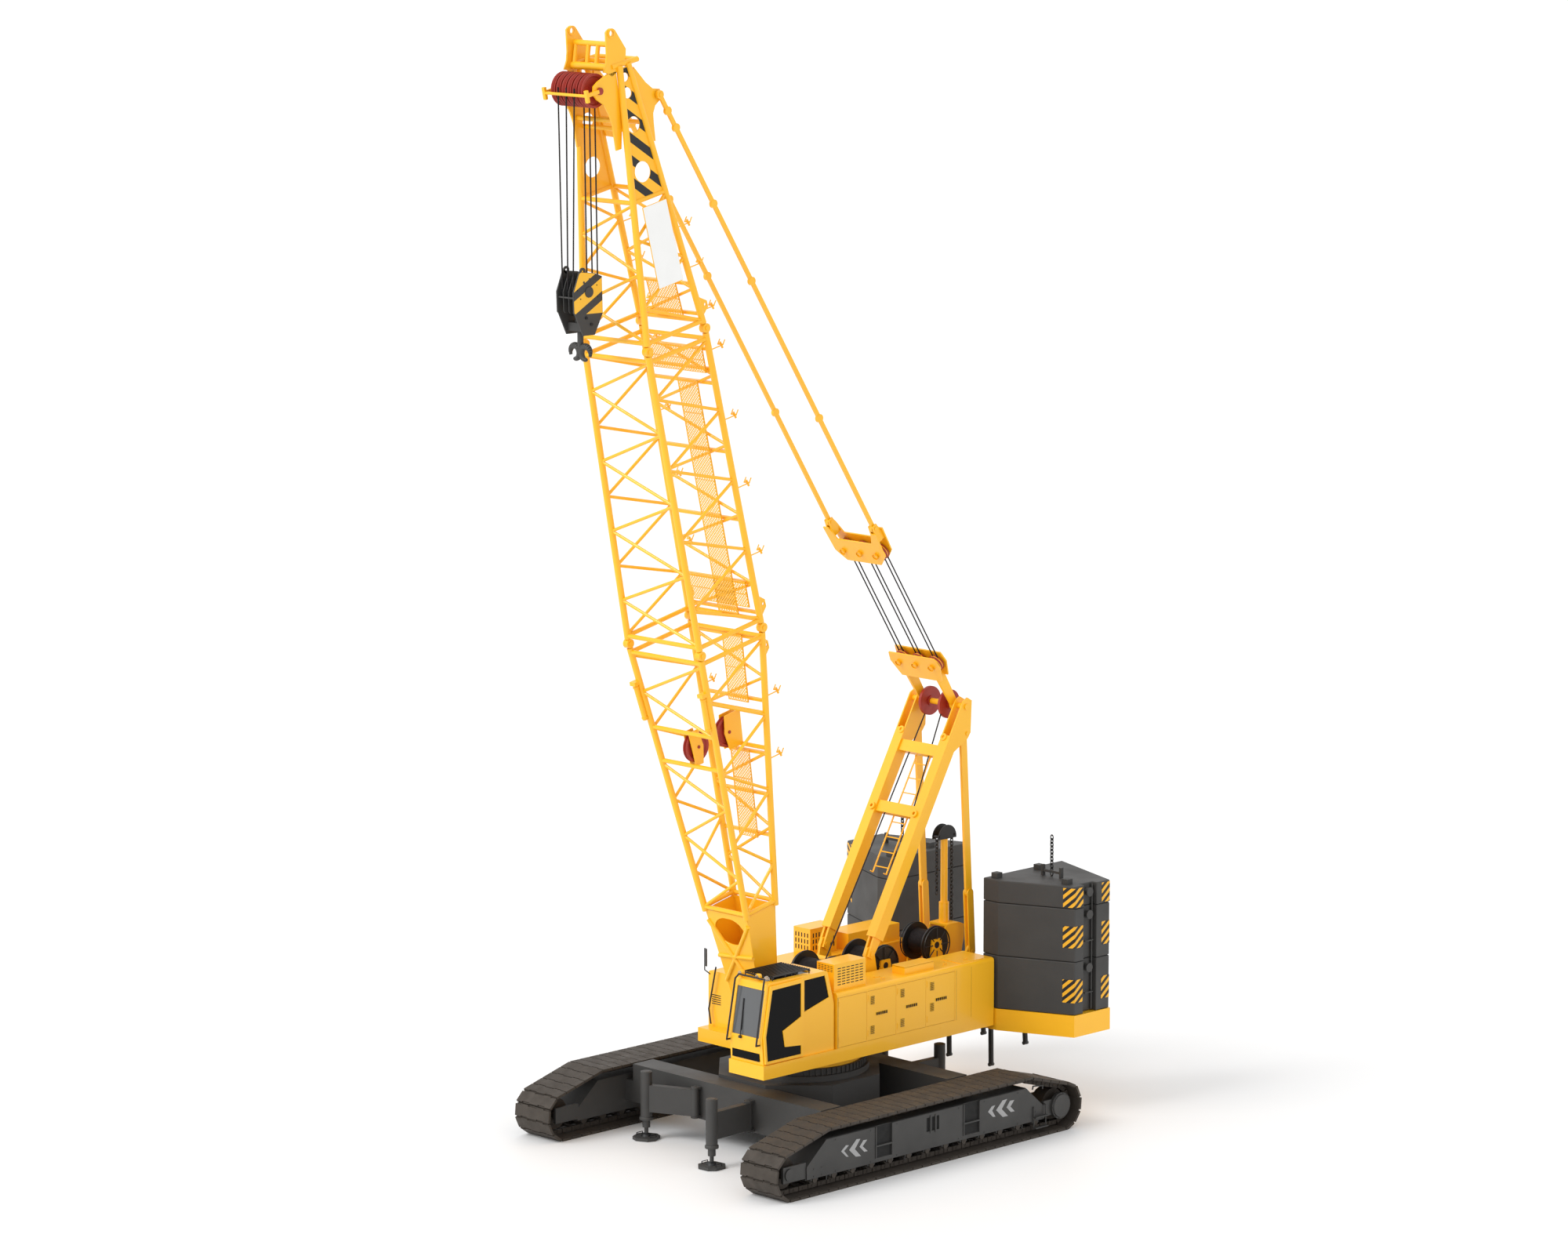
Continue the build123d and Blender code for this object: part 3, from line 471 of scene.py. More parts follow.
# Hoist falls: rope between the head sheaves and the block
falls = {
    "radius": 0.015, "top": 21.43, "bottom": 17.60,
    "front": ((6.225, -0.225, -0.150), (6.225, 0.0, 0.0), (6.225, 0.225, 0.150)),
    "rear": ((5.565, -0.225, -0.150), (5.565, -0.075, 0.0), (5.565, 0.075, 0.150)),
    "blockFront": 6.212, "blockRear": 5.578,
}
shape = bmesh.new()
for lines, low in ((falls["front"], falls["blockFront"]), (falls["rear"], falls["blockRear"])):
    for x, high, wide in lines:
        addRod(shape, (x, high, falls["top"]), (low, wide, falls["bottom"]), falls["radius"], 8)
hoistFalls = addPiece(shape, "hoistFalls", "ropeSteel", None)
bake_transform(hoistFalls)

# Hoist ropes from the two main drums to the sheaves on the mast's head
leads = {
    "radius": 0.014,
    "lines": (((-0.80, -0.27, 2.99), (-3.93, -0.27, 8.10)), ((-1.745, 0.27, 3.30), (-3.83, 0.27, 8.17))),
}
shape = bmesh.new()
for low, high in leads["lines"]:
    addRod(shape, low, high, leads["radius"], 8)
hoistLeads = addPiece(shape, "hoistLeads", "ropeSteel", None)
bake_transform(hoistLeads)

# Luffing rope: a pair of lines from each sheave of the spreader to the lower block
luffing = {
    "radius": 0.014, "reach": (11.42, 14.26), "above": 0.05, "sheaves": (-0.46, 0.02, 0.50), "half": 0.06
}
shape = bmesh.new()
for middle in luffing["sheaves"]:
    for side in (-1, 1):
        y = middle + side * luffing["half"]
        ends = [pendantAt(d, luffing["above"], y) for d in luffing["reach"]]
        addRod(shape, *ends, luffing["radius"], 8)
addPiece(shape, "luffingRopes", "ropeSteel", "lower_block")

# Red sheaves of the spreader and the lower block, over the source's plain discs
ropeSheaves = {
    "spreader": (11.36, "pendants"), "lower": (14.318, "lower_block"), "across": (-0.46, 0, 0.46),
    "profile": [(0.02, -0.066), (0.182, -0.066), (0.182, -0.05), (0.160, -0.033), (0.182, -0.014)],
    "cap": ((0.0, 0.016), (0.058, 0.016), (0.066, 0.008), (0.066, -0.02)), "capOff": 0.155,
}
for name in ("spreader", "lower"):
    d, body = ropeSheaves[name]
    shape = bmesh.new()
    for y in ropeSheaves["across"]:
        place = frameOf(pendantAt(d, 0, y), (0, 1, 0), pendantDown)
        addTurned(shape, mirrored(ropeSheaves["profile"]), place, 28)
    addPiece(shape, name + "Sheaves", "redEnamel", body)
    shape = bmesh.new()
    for y in ropeSheaves["across"]:
        for side in (-1, 1):
            spot = pendantAt(d, side * ropeSheaves["capOff"], y)
            addTurned(shape, ropeSheaves["cap"], frameOf(spot, (0, 1, 0), pendantDown * -side), 18)
    addPiece(shape, name + "PinCaps", "yellowEnamel", body)

# Rope wound on the drums
winding = {
    "winch_drum_front": (-0.55, 3.18, 0.365, 0.285), "winch_drum_rear": (-2.03, 3.18, 0.365, 0.285),
    "luffing_drum": (-3.65, 3.33, 0.250, 0.265),
}
turnPitch, turnDepth = 0.03, 0.012
for name, (x, z, half, radius) in winding.items():
    shape = bmesh.new()
    place = acrossAt((x, 0, z))
    turns = round(2 * half / turnPitch)
    profile = []
    for turn in range(turns):
        y = -half + 2 * half * turn / turns
        profile += [(radius - turnDepth, y), (radius, y + 0.007), (radius, y + 0.02)]
    addTurned(shape, profile + [(radius - turnDepth, half)], place, 40)
    addPiece(shape, name.replace("_", "") + "Rope", "ropeSteel", name)
print("ropes done")

# Walkways of perforated sheet, folded down at both edges, in place of the source's plain strips
walkway = {
    "lift": 0.062, "thick": 0.030, "pitch": 0.048, "bar": 0.009, "sheet": 0.004, "edge": 0.005,
    "ribPitch": 0.7, "rib": 0.026, "ribHalf": 0.003,
    "strips": (
        ("foot", (4.090, 5.900), (-0.150, 0.370)), ("foot", (6.900, 8.280), (-0.050, 0.500)),
        ("middle", (8.720, 13.560), (-0.050, 0.500)), ("middle", (8.900, 9.430), (-0.850, 0.850)),
        ("middle", (13.740, 14.250), (-0.800, 0.800)), ("head", (14.860, 15.600), (-0.350, 0.460)),
    ),
}


def addTread(shape, width, length, place):
    # A net of square holes set cornerwise, trimmed to the strip, with folded edges
    net = bmesh.new()
    reach = width + length
    cells = math.ceil(reach / walkway["pitch"])
    bmesh.ops.create_grid(
        net, x_segments=cells, y_segments=cells, size=cells * walkway["pitch"] / 2,
        matrix=Matrix.Rotation(math.pi / 4, 4, "Z"),
    )
    for axis, half in (((1, 0, 0), width / 2), ((0, 1, 0), length / 2)):
        for side in (-1, 1):
            out = Vector(axis) * side
            bmesh.ops.bisect_plane(
                net, geom=net.verts[:] + net.edges[:] + net.faces[:], dist=1e-6,
                plane_co=out * half, plane_no=out, clear_outer=True,
            )
    whole = walkway["pitch"] ** 2 * 0.7
    opened = [face for face in net.faces if face.calc_area() > whole]
    bmesh.ops.inset_individual(net, faces=opened, thickness=walkway["bar"], use_even_offset=True)
    bmesh.ops.delete(net, geom=opened, context="FACES")
    bmesh.ops.solidify(net, geom=net.faces[:], thickness=walkway["sheet"])
    bmesh.ops.translate(net, verts=net.verts, vec=(0, 0, walkway["thick"] - walkway["sheet"]))
    bmesh.ops.transform(net, matrix=place, verts=net.verts)
    mesh = bpy.data.meshes.new("net")
    net.to_mesh(mesh)
    net.free()
    shape.from_mesh(mesh)
    bpy.data.meshes.remove(mesh)
    across, along = width / 2, length / 2
    for side in (-1, 1):
        ends = sorted((side * across, side * (across - walkway["edge"])))
        addBox(shape, (ends[0], -along, 0), (ends[1], along, walkway["thick"]), place)
        ends = sorted((side * along, side * (along - walkway["edge"])))
        addBox(shape, (-across, ends[0], 0), (across, ends[1], walkway["thick"]), place)
    ribs = max(2, round(length / walkway["ribPitch"]))
    for index in range(1, ribs):
        y = length * index / ribs - along
        low, high = y - walkway["ribHalf"], y + walkway["ribHalf"]
        addBox(shape, (-across, low, 0), (across, high, walkway["rib"]), place)


shape = bmesh.new()
for name, reach, across in walkway["strips"]:
    low, high = sections[name]
    ends = []
    for s in (reach[0], high[0]):
        width, depth, middle = boomSection(low, high, s)
        ends.append(boomAt(s, middle - depth / 2 + walkway["lift"]))
    rise = (ends[1] - ends[0]).normalized()
    length = reach[1] - reach[0]
    centre = ends[0] + rise * length / 2 + sideways(sum(across) / 2)
    addTread(shape, across[1] - across[0], length, frameOf(centre, (0, 1, 0), rise))
addPiece(shape, "walkwayNets", "yellowEnamel", "boom")
print("walkways done")

# The blank white sign below the left side of the boom head
sign = {
    "low": (15.74, -0.42, 0.22, 0.925), "high": (17.34, -0.40, 0.22, 0.845), "thick": 0.012,
    "frame": 0.011, "pegs": ((15.9, -0.3), (15.9, 0.1), (17.1, -0.3), (17.1, 0.1)), "peg": 0.012,
    "stand": 0.11,
}
shape, border = bmesh.new(), bmesh.new()
low, high = sign["low"], sign["high"]
corners = [boomAt(low[0], low[1], low[3]), boomAt(low[0], low[2], low[3])]
corners += [boomAt(high[0], high[2], high[3]), boomAt(high[0], high[1], high[3])]
outward = (corners[3] - corners[0]).cross(corners[1] - corners[0]).normalized()
outward *= 1 if outward.y > 0 else -1
addSlab(shape, corners, outward * sign["thick"])
for start, end in zip(corners, corners[1:] + corners[:1]):
    addRod(border, start, end, sign["frame"], 8)
for s, e in sign["pegs"]:
    y = low[3] + (high[3] - low[3]) * (s - low[0]) / (high[0] - low[0])
    addPin(border, boomAt(s, e, y), (0, -sign["stand"]), sign["peg"], 8)
addPiece(shape, "signBoard", "whiteEnamel", "boom")
addPiece(border, "signFrame", "yellowEnamel", "boom")

# Forked rope rests behind the rear chords
rests = {
    "places": (("head", 16.70), ("head", 15.87), ("head", 14.98), ("middle", 14.18), ("middle", 12.75),
               ("middle", 11.35), ("middle", 9.95), ("foot", 7.05), ("foot", 5.75)),
    "reach": 0.34, "radius": 0.013, "bar": 0.022, "pin": 0.016, "pinHalf": 0.075,
    "tine": 0.012, "tineOff": 0.07,
}
shape = bmesh.new()
for name, s in rests["places"]:
    width, depth, middle = boomSection(*sections[name], s)
    chord = middle - depth / 2
    tip = chord - rests["reach"]
    for hand in (-1, 1):
        y = hand * width / 2
        addRod(shape, boomAt(s, chord, y), boomAt(s, tip, y), rests["radius"], 8)
        addRod(shape, boomAt(s - 0.055, tip - 0.02, y), boomAt(s + 0.075, tip + 0.02, y), rests["bar"], 10)
        fork = boomAt(s + 0.03, tip + 0.02, y)
        addPin(shape, fork, (-rests["pinHalf"], rests["pinHalf"]), rests["pin"], 10)
        for side in (-1, 1):
            off = sideways(side * rests["tineOff"])
            addRod(shape, fork + off, boomAt(s + 0.11, tip - 0.05, y) + off, rests["tine"], 8)
addPiece(shape, "ropeRests", "yellowEnamel", "boom")

# Rope guard across the head sheaves
guard = {"s": 19.72, "e": 0.910, "half": 0.60, "radius": 0.03}
shape = bmesh.new()
addPin(shape, boomAt(guard["s"], guard["e"]), (-guard["half"], guard["half"]), guard["radius"], 12)
addPiece(shape, "sheaveGuard", "yellowEnamel", "boom")

# Spare pin tubes clamped to the front chords below the lower joint
spares = {
    "reach": (6.88, 7.62), "radius": 0.055, "off": 0.1, "shift": 0.03, "clamps": (0.06, 0.94),
    "clamp": 0.067,
}
shape = bmesh.new()
for hand in (-1, 1):
    ends = []
    for s in spares["reach"]:
        width, depth, middle = boomSection(*sections["foot"], s)
        ends.append(boomAt(s, middle + depth / 2 + spares["off"], hand * width / 2 - spares["shift"]))
    addRod(shape, ends[0], ends[1], spares["radius"], 16)
    run = ends[1] - ends[0]
    for part in spares["clamps"]:
        spot = ends[0] + run * part
        addRod(shape, spot - run * 0.02, spot + run * 0.02, spares["clamp"], 16)
        place = frameOf(spot, boomOut, (0, 1, 0))
        addBox(shape, (-0.09, -0.03, -0.012), (0.02, 0.03, 0.012), place)
    cap = ends[1] + run.normalized() * 0.05
    addBox(shape, (-0.10, -0.075, -0.05), (0.075, 0.075, 0.03), frameOf(cap, boomOut, (0, 1, 0)))
addPiece(shape, "sparePinTubes", "yellowEnamel", "boom", edge=0.004)
print("boom dressed")

# Boom: three lattice sections of round tube, in place of the source's plainer ones
tubes = {
    "chord": 0.066, "lacing": 0.032, "frame": 0.046, "eye": 0.095, "plate": 0.04, "pin": 0.042,
    "outerEyes": ((-0.062, -0.022), (0.022, 0.062)), "innerEye": ((-0.02, 0.02),), "pinHalf": 0.08,
}


def sheaveProfile(radius, width):
    # A sheave with a rope groove, a web and a hub
    half = width / 2
    return mirrored([
        (0.035, -half), (0.11, -half), (0.115, -half * 0.5), (radius - 0.075, -half * 0.45),
        (radius - 0.05, -half), (radius, -half), (radius, -half * 0.75), (radius - 0.045, -0.012),
    ])


def corner(name, s, index):
    # A corner of a section, counted round from the front left
    width, depth, middle = boomSection(*sections[name], s)
    y = width / 2 * (1 if index in (0, 3) else -1)
    return boomAt(s, middle + depth / 2 * (1 if index in (0, 1) else -1), y)


def addLattice(shape, name, chords, low, high, bays, lead=0, openBay=None):
    # Four chords with a zigzag of lacing on each side; openBay is left out in front and behind
    step = (high - low) / bays
    for index in range(4):
        addRod(shape, corner(name, chords[0], index), corner(name, chords[1], index), tubes["chord"], 16)
        for bay in range(bays):
            if bay == openBay and index in (0, 2):
                continue
            pair = (index, (index + 1) % 4) if (bay + lead) % 2 == 0 else ((index + 1) % 4, index)
            foot = corner(name, low + bay * step, pair[0])
            addRod(shape, foot, corner(name, low + (bay + 1) * step, pair[1]), tubes["lacing"], 10)


def addFrame(shape, name, s, faces=(0, 1, 2, 3)):
    for index in faces:
        addRod(shape, corner(name, s, index), corner(name, s, (index + 1) % 4), tubes["frame"], 12)


def addEyes(shape, name, s, side):
    # Forked eyes and their pins on the four chords of one end
    for index in range(4):
        spot = corner(name, s, index)
        for reach in tubes["outerEyes" if side > 0 else "innerEye"]:
            addPin(shape, spot, reach, tubes["eye"], 20)
        if side > 0:
            addPin(shape, spot, (-tubes["pinHalf"], tubes["pinHalf"]), tubes["pin"], 14)


def addSidePlate(shape, points, y, thickness):
    # A plate that faces sideways, its middle at y
    addSlab(shape, [point + sideways(y - thickness / 2) for point in points], (0, thickness, 0))


def addRearLugs(shape, name, s, run):
    # Pierced lugs on the two rear chords
    for hand in (-1, 1):
        width, depth, middle = boomSection(*sections[name], s)
        back = middle - depth / 2
        outline = ((0, 0), (0, 1), (-0.19, 0.7), (-0.2, 0.4))
        place = frameOf(boomAt(s, back, hand * width / 2), boomOut, boomUp)
        ring = circle(-0.135, run * 0.55, 0.032, 16)
        addSheet(shape, [[(e, part * run) for e, part in outline], ring], 0.03, place)


def addBearers(shape, name, places):
    # Cross bars under the walkway
    for s in places:
        width, depth, middle = boomSection(*sections[name], s)
        place = frameOf(boomAt(s, middle - depth / 2), (0, 1, 0), boomUp)
        addBox(shape, (-width / 2, -0.03, 0.001 - walkway["lift"]), (width / 2, 0.03, 0), place)


bearers = {
    "foot": (4.150, 5.000, 5.850, 6.950, 8.220),
    "middle": (8.770, 9.380, 10.700, 12.100, 13.500, 13.790, 14.200),
    "head": (14.920, 15.540),
}

# The foot: a box of plates with a rounded window, two legs on the pin, then lattice
foot = {
    "low": (0.700, 0.790, 0.480, -0.010), "high": (2.730, 1.176, 0.820, -0.010), "pin": 0.060,
    "leg": ((0, -0.13), (0, 0.13), (0.9, 0.2), (0.9, -0.26)),
    "braces": ((1.000, 2.510), (2.530, 1.170), (1.810, 1.720)),
}
guides = {"s": 6.340, "radius": 0.310, "y": 0.060, "across": (0.490, -0.370), "frames": (5.980, 6.700)}
shape = bmesh.new()
addLattice(shape, "foot", (2.700, 8.380), 2.790, 8.230, 7, lead=1, openBay=4)
for s in (2.790, 8.300):
    addFrame(shape, "foot", s)
for s in guides["frames"]:
    addFrame(shape, "foot", s, faces=(0, 2))
addEyes(shape, "foot", 8.480, 1)
addRearLugs(shape, "foot", 7.800, 0.500)
addBearers(shape, "foot", bearers["foot"])
for side in (-1, 1):
    ends = [boomAt(s, middle + side * depth / 2) for s, width, depth, middle in (foot["low"], foot["high"])]
    rise = ends[1] - ends[0]
    outline = [(-0.395, 0), (0.395, 0), (0.588, rise.length), (-0.588, rise.length)]
    rounds = []
    if side > 0:
        rounds = [[(0.42 * x, min(1.63 + 0.30 * y, 1.92)) for x, y in circle(0, 0, 1, 40)]]
    place = frameOf(ends[0], (0, 1, 0), rise)
    place.translation += boomOut * -side * tubes["plate"] / 2
    addSheet(shape, [outline, *rounds], tubes["plate"], place)
    quad = []
    for end, turn in (("low", -1), ("high", -1), ("high", 1), ("low", 1)):
        s, width, depth, middle = foot[end]
        quad.append(boomAt(s, middle + turn * depth / 2, side * width / 2))
    addSlab(shape, quad, (0, -side * tubes["plate"], 0))
    addSidePlate(shape, [boomAt(*point) for point in foot["leg"]], side * 0.35, 0.06)
    addPin(shape, boomAt(0, 0), (side * 0.32, side * 0.38), 0.13, 28)
    addPin(shape, boomAt(0, 0), (side * 0.38, side * 0.47), foot["pin"], 20)
for braces in foot["braces"]:
    ends = []
    for s, hand in zip(braces, (1, -1)):
        width, depth, middle = boomSection(foot["low"], foot["high"], s)
        ends.append(boomAt(s, middle + depth / 2, hand * width / 2))
    addRod(shape, ends[0], ends[1], tubes["frame"], 14)
for axis, side in zip(guides["across"], (1, -1)):
    inner = axis - side * 0.06
    outline = [boomAt(guides["frames"][0], inner)]
    for s in guides["frames"]:
        width, depth, middle = boomSection(*sections["foot"], s)
        outline.append(boomAt(s, middle + side * depth / 2))
    outline += [boomAt(guides["frames"][1], inner), boomAt(guides["s"], inner - side * 0.07)]
    for cheek in (-1, 1):
        addSidePlate(shape, outline, guides["y"] + cheek * 0.075, 0.016)
addPiece(shape, "boomFootTubes", "yellowEnamel", "boom", replaced=("boom_foot",))

shape = bmesh.new()
for axis in guides["across"]:
    centre = boomAt(guides["s"], axis, guides["y"])
    addTurned(shape, sheaveProfile(guides["radius"], 0.09), acrossAt(centre), 36)
    addPin(shape, centre, (-0.095, 0.095), 0.035, 14)
addPiece(shape, "guideSheaves", "redEnamel", "boom")

shape = bmesh.new()
addLattice(shape, "middle", (8.580, 14.540), 8.670, 14.400, 8)
for s in (8.640, 14.430):
    addFrame(shape, "middle", s)
addEyes(shape, "middle", 8.480, -1)
addEyes(shape, "middle", 14.640, 1)
addRearLugs(shape, "middle", 8.650, 0.500)
addBearers(shape, "middle", bearers["middle"])
addPiece(shape, "boomMiddleTubes", "yellowEnamel", "boom", replaced=("boom_middle",))

# The head: lattice, pierced side panels, horns for a jib, ears for the sheaves and the pendants
headPlates = {
    "from": 17.46, "to": 20.0, "proud": 0.0095, "thick": 0.002,
    "holes": ((17.970, -0.060, 0.200), (18.890, -0.080, 0.155), (19.510, -0.090, 0.105),
              (19.810, -0.110, 0.085)),
    "horn": ((20.75, 0.15), (20.78, 0.11), (20.79, 0.02), (20.74, -0.085), (20.32, -0.28), (20.17, -0.24),
             (20.00, -0.10), (19.90, 0.18), (20.00, 0.30), (20.03, 0.37), (20.175, 0.27), (20.34, 0.215)),
    "ear": ((19.97, 0.30), (19.90, 0.56), (19.84, 0.68), (19.70, 0.72), (19.57, 0.65), (19.425, 0.49),
            (19.20, 0.405), (18.98, 0.365), (18.50, 0.38), (18.50, 0.25), (19.00, 0.12), (19.97, 0.06)),
    "rearEar": ((19.93, -0.40), (19.57, -0.63), (19.40, -0.785), (19.345, -0.96), (19.235, -1.00),
                (19.15, -0.95), (19.065, -0.78), (18.935, -0.697), (18.74, -0.67), (18.40, -0.64),
                (18.50, -0.40), (19.00, -0.33), (19.60, -0.28)),
    "lug": (20.70, 0.02), "half": 0.547,
    "arms": (
        (((19.76, 0.60), (19.76, 0.90), (19.69, 0.90), (19.69, 0.60)), 0.05),
        (((19.83, 0.88), (19.83, 0.94), (19.59, 0.94), (19.59, 0.88)), 0.07),
    ),
    "armOff": 0.04,
    "bars": ((20.47, 0, 0.055), (20.06, 0.15, 0.075), (20.06, -0.2, 0.06), (19.05, 0.25, 0.05),
             (20.05, -0.52, 0.05)),
    "struts": (-0.48, -0.13, 0.13, 0.48),
}
shape, plates = bmesh.new(), bmesh.new()
addLattice(shape, "head", (14.740, 20.050), 14.800, 17.420, 4)
for s in (14.790, headPlates["from"]):
    addFrame(shape, "head", s)
addFrame(shape, "head", 18.850, faces=(0, 2))
addEyes(shape, "head", 14.640, -1)
addRearLugs(shape, "head", 14.850, 0.420)
addBearers(shape, "head", bearers["head"])
for hand in (-1, 1):
    corners, starts = [], []
    for s in (headPlates["from"], headPlates["to"]):
        width, depth, middle = boomSection(*sections["head"], s)
        starts.append(boomAt(s, 0, hand * width / 2))
        corners.append((middle - depth / 2, middle + depth / 2))
    rise = starts[1] - starts[0]
    stretch = rise.length / (headPlates["to"] - headPlates["from"])
    place = frameOf(starts[0], boomOut, rise)
    for sheet, inset, grow, thick, proud in (
        (shape, 0, 0, 0.016, 0), (plates, 0.03, 0.004, headPlates["thick"], headPlates["proud"])
    ):
        low, high = inset * 0.7, rise.length - inset * 0.7
        outline = [(corners[0][0] + inset, low), (corners[0][1] - inset, low)]
        outline += [(corners[1][1] - inset, high), (corners[1][0] + inset, high)]
        rounds = []
        for s, e, radius in headPlates["holes"]:
            rounds.append(circle(e, (s - headPlates["from"]) * stretch, radius + grow, 32))
        out = place.to_3x3() @ Vector((0, 0, -hand * proud))
        addSheet(sheet, [outline, *rounds], thick, Matrix.Translation(out) @ place)
    y = hand * headPlates["half"]
    for name in ("ear", "rearEar"):
        addSidePlate(shape, [boomAt(s, e) for s, e in headPlates[name]], y, tubes["plate"])
    hole = circle(headPlates["lug"][1], headPlates["lug"][0], 0.06, 24)
    horn = [(e, s) for s, e in headPlates["horn"]]
    addSheet(shape, [horn, hole], tubes["plate"], frameOf(boomAt(0, 0, y), boomOut, boomUp))
    boss = frameOf(boomAt(*headPlates["lug"], y), boomOut, boomUp)
    addTurned(shape, bossProfile(0.06, 0.095, 0.035), boss, 28)
    addPin(shape, boomAt(*axes["pendantPin"], y), (0, hand * 0.115), 0.04, 16)
    for outline, thick in headPlates["arms"]:
        addSidePlate(shape, [boomAt(s, e) for s, e in outline], y + hand * headPlates["armOff"], thick)
    addRod(shape, boomAt(20.075, 0.15, y), boomAt(20.05, -0.54, y), 0.055, 14)
for s, e, radius in headPlates["bars"]:
    addPin(shape, boomAt(s, e), (-headPlates["half"], headPlates["half"]), radius, 16)
for y in headPlates["struts"]:
    addRod(shape, boomAt(20.06, 0.15, y), boomAt(20.47, 0, y), 0.045, 12)
addPiece(shape, "boomHeadTubes", "yellowEnamel", "boom", replaced=("boom_head",))
addPiece(plates, "headHazardPlates", "headHazard", "boom")

# Grooved sheaves on the head's axle
sheaves = {"s": 19.72, "e": 0.56, "radius": 0.33, "width": 0.11, "pitch": 0.15, "axle": 0.07, "half": 0.607}
shape = bmesh.new()
axle = boomAt(sheaves["s"], sheaves["e"])
for index in range(6):
    centre = axle + sideways((index - 2.5) * sheaves["pitch"])
    addTurned(shape, sheaveProfile(sheaves["radius"], sheaves["width"]), acrossAt(centre), 40)
addPin(shape, axle, (-sheaves["half"], sheaves["half"]), sheaves["axle"], 20)
addPiece(shape, "headSheaveSet", "redEnamel", "head_sheaves", replaced=("head_sheaves",))
print("boom built")

# Hook block: cheeks, inner plates, three grooved sheaves and the trunnion
block = {
    "x": 5.895, "z": 17.551, "half": 0.23, "sheave": 0.32, "pitch": 0.15,
    "cheek": ((0.24, 0.40), (-0.15, 0.35), (-0.34, 0.28), (-0.36, -0.43), (-0.15, -0.83), (0.15, -0.83),
              (0.35, -0.42), (0.385, -0.38), (0.40, 0.01)),
    "inner": ((0.228, 0.38), (-0.1425, 0.3325), (-0.323, 0.266), (-0.342, -0.4085), (0.33, -0.399),
              (0.36, -0.361), (0.375, 0.0095)),
    "holes": ((0.0, 0.0, 0.108), (0.13, 0.19, 0.026), (-0.02, 0.24, 0.026), (-0.15, 0.2, 0.026)),
    "bolts": ((-0.22, -0.1), (0.22, -0.12), (-0.2, 0.12), (0.3, 0.05)), "sheetOff": 0.2465,
    "caps": ((-0.06, -0.62), (0.07, -0.49)), "stays": ((-0.30, -0.1), (0.35, -0.1), (0.0, -0.48)),
    "eye": (0.15, 0.40), "boss": ((0.0, 0.04), (0.096, 0.04), (0.105, 0.03), (0.105, 0)),
}
shape, sheets, bolts = bmesh.new(), bmesh.new(), bmesh.new()
blockCentre = Vector((block["x"], 0, block["z"]))


def onBlock(x, z, y=0.0):
    return blockCentre + Vector((x, y, z))


for hand in (-1, 1):
    y = hand * block["half"]
    addSidePlate(shape, [onBlock(x, z) for x, z in block["cheek"]], y, 0.03)
    addSidePlate(shape, [onBlock(x, z) for x, z in block["inner"]], hand * 0.075, 0.014)
    addTurned(shape, bossProfile(0.028, 0.075, 0.015), acrossAt(onBlock(*block["eye"], y)), 24)
    addTurned(shape, [(r, hand * out) for r, out in block["boss"]], acrossAt(onBlock(0, 0, y)), 32)
    sheetY = hand * block["sheetOff"]
    outline = [(x * 0.98, z * 0.98) for x, z in block["cheek"][:4] + block["cheek"][6:]]
    rounds = [circle(*hole) for hole in block["holes"]]
    addSheet(sheets, [outline, *rounds], 0.003, frameOf(onBlock(0, 0, sheetY), (1, 0, 0), (0, 0, 1)))
    for x, z in block["bolts"]:
        addPin(bolts, onBlock(x, z, sheetY), (0, hand * 0.01), 0.012, 6)
    for x, z in block["caps"]:
        addPin(bolts, onBlock(x, z, hand * 0.245), (0, hand * 0.02), 0.03, 12)
    for x, z in block["stays"]:
        addPin(shape, onBlock(x, z), (0, y), 0.018, 10)
addBox(shape, onBlock(-0.13, -0.76, -0.215), onBlock(0.13, -0.60, 0.215))
addPiece(shape, "blockPlates", "charcoalEnamel", "hook_block", edge=0.003, replaced=("hook_block",))
addPiece(sheets, "blockHazardSheets", "hookHazard", "hook_block")
addPiece(bolts, "blockBolts", "forgedSteel", "hook_block")
shape = bmesh.new()
for index in range(3):
    centre = onBlock(0, 0, (index - 1) * block["pitch"])
    addTurned(shape, sheaveProfile(block["sheave"], 0.1), acrossAt(centre), 40)
addPiece(shape, "blockSheaves", "forgedSteel", "hook_block")

# The ramshorn hook: two swelling horns round their throats, forged in one with the shank
hook = {"low": -1.18, "spread": 0.150, "throat": 0.082, "outer": 0.176, "shank": 0.060}
shape = bmesh.new()
addRod(shape, onBlock(0, hook["low"] - 0.02), onBlock(0, -0.58), hook["shank"], 20)
addRod(shape, onBlock(0, -0.60), onBlock(0, -0.54), 0.10, 24)
for hand in (-1, 1):
    path = []
    for index in range(19):
        turn = math.radians(100 - index * 17)
        swell = 0.032 + 0.036 * math.sin(math.pi * min(index / 18 * 1.05, 1)) ** 0.7
        middle = (hook["throat"] + hook["outer"]) / 2
        y = hand * (hook["spread"] - middle * math.cos(turn))
        path.append((onBlock(0, hook["low"] - middle * math.sin(turn), y), swell))
    for (start, wide), (end, thin) in zip(path, path[1:]):
        addRod(shape, start, end, wide, 14, tip=thin)
addPiece(shape, "ramshornHook", "charcoalEnamel", "hook", replaced=("hook",))
print("hook block built")

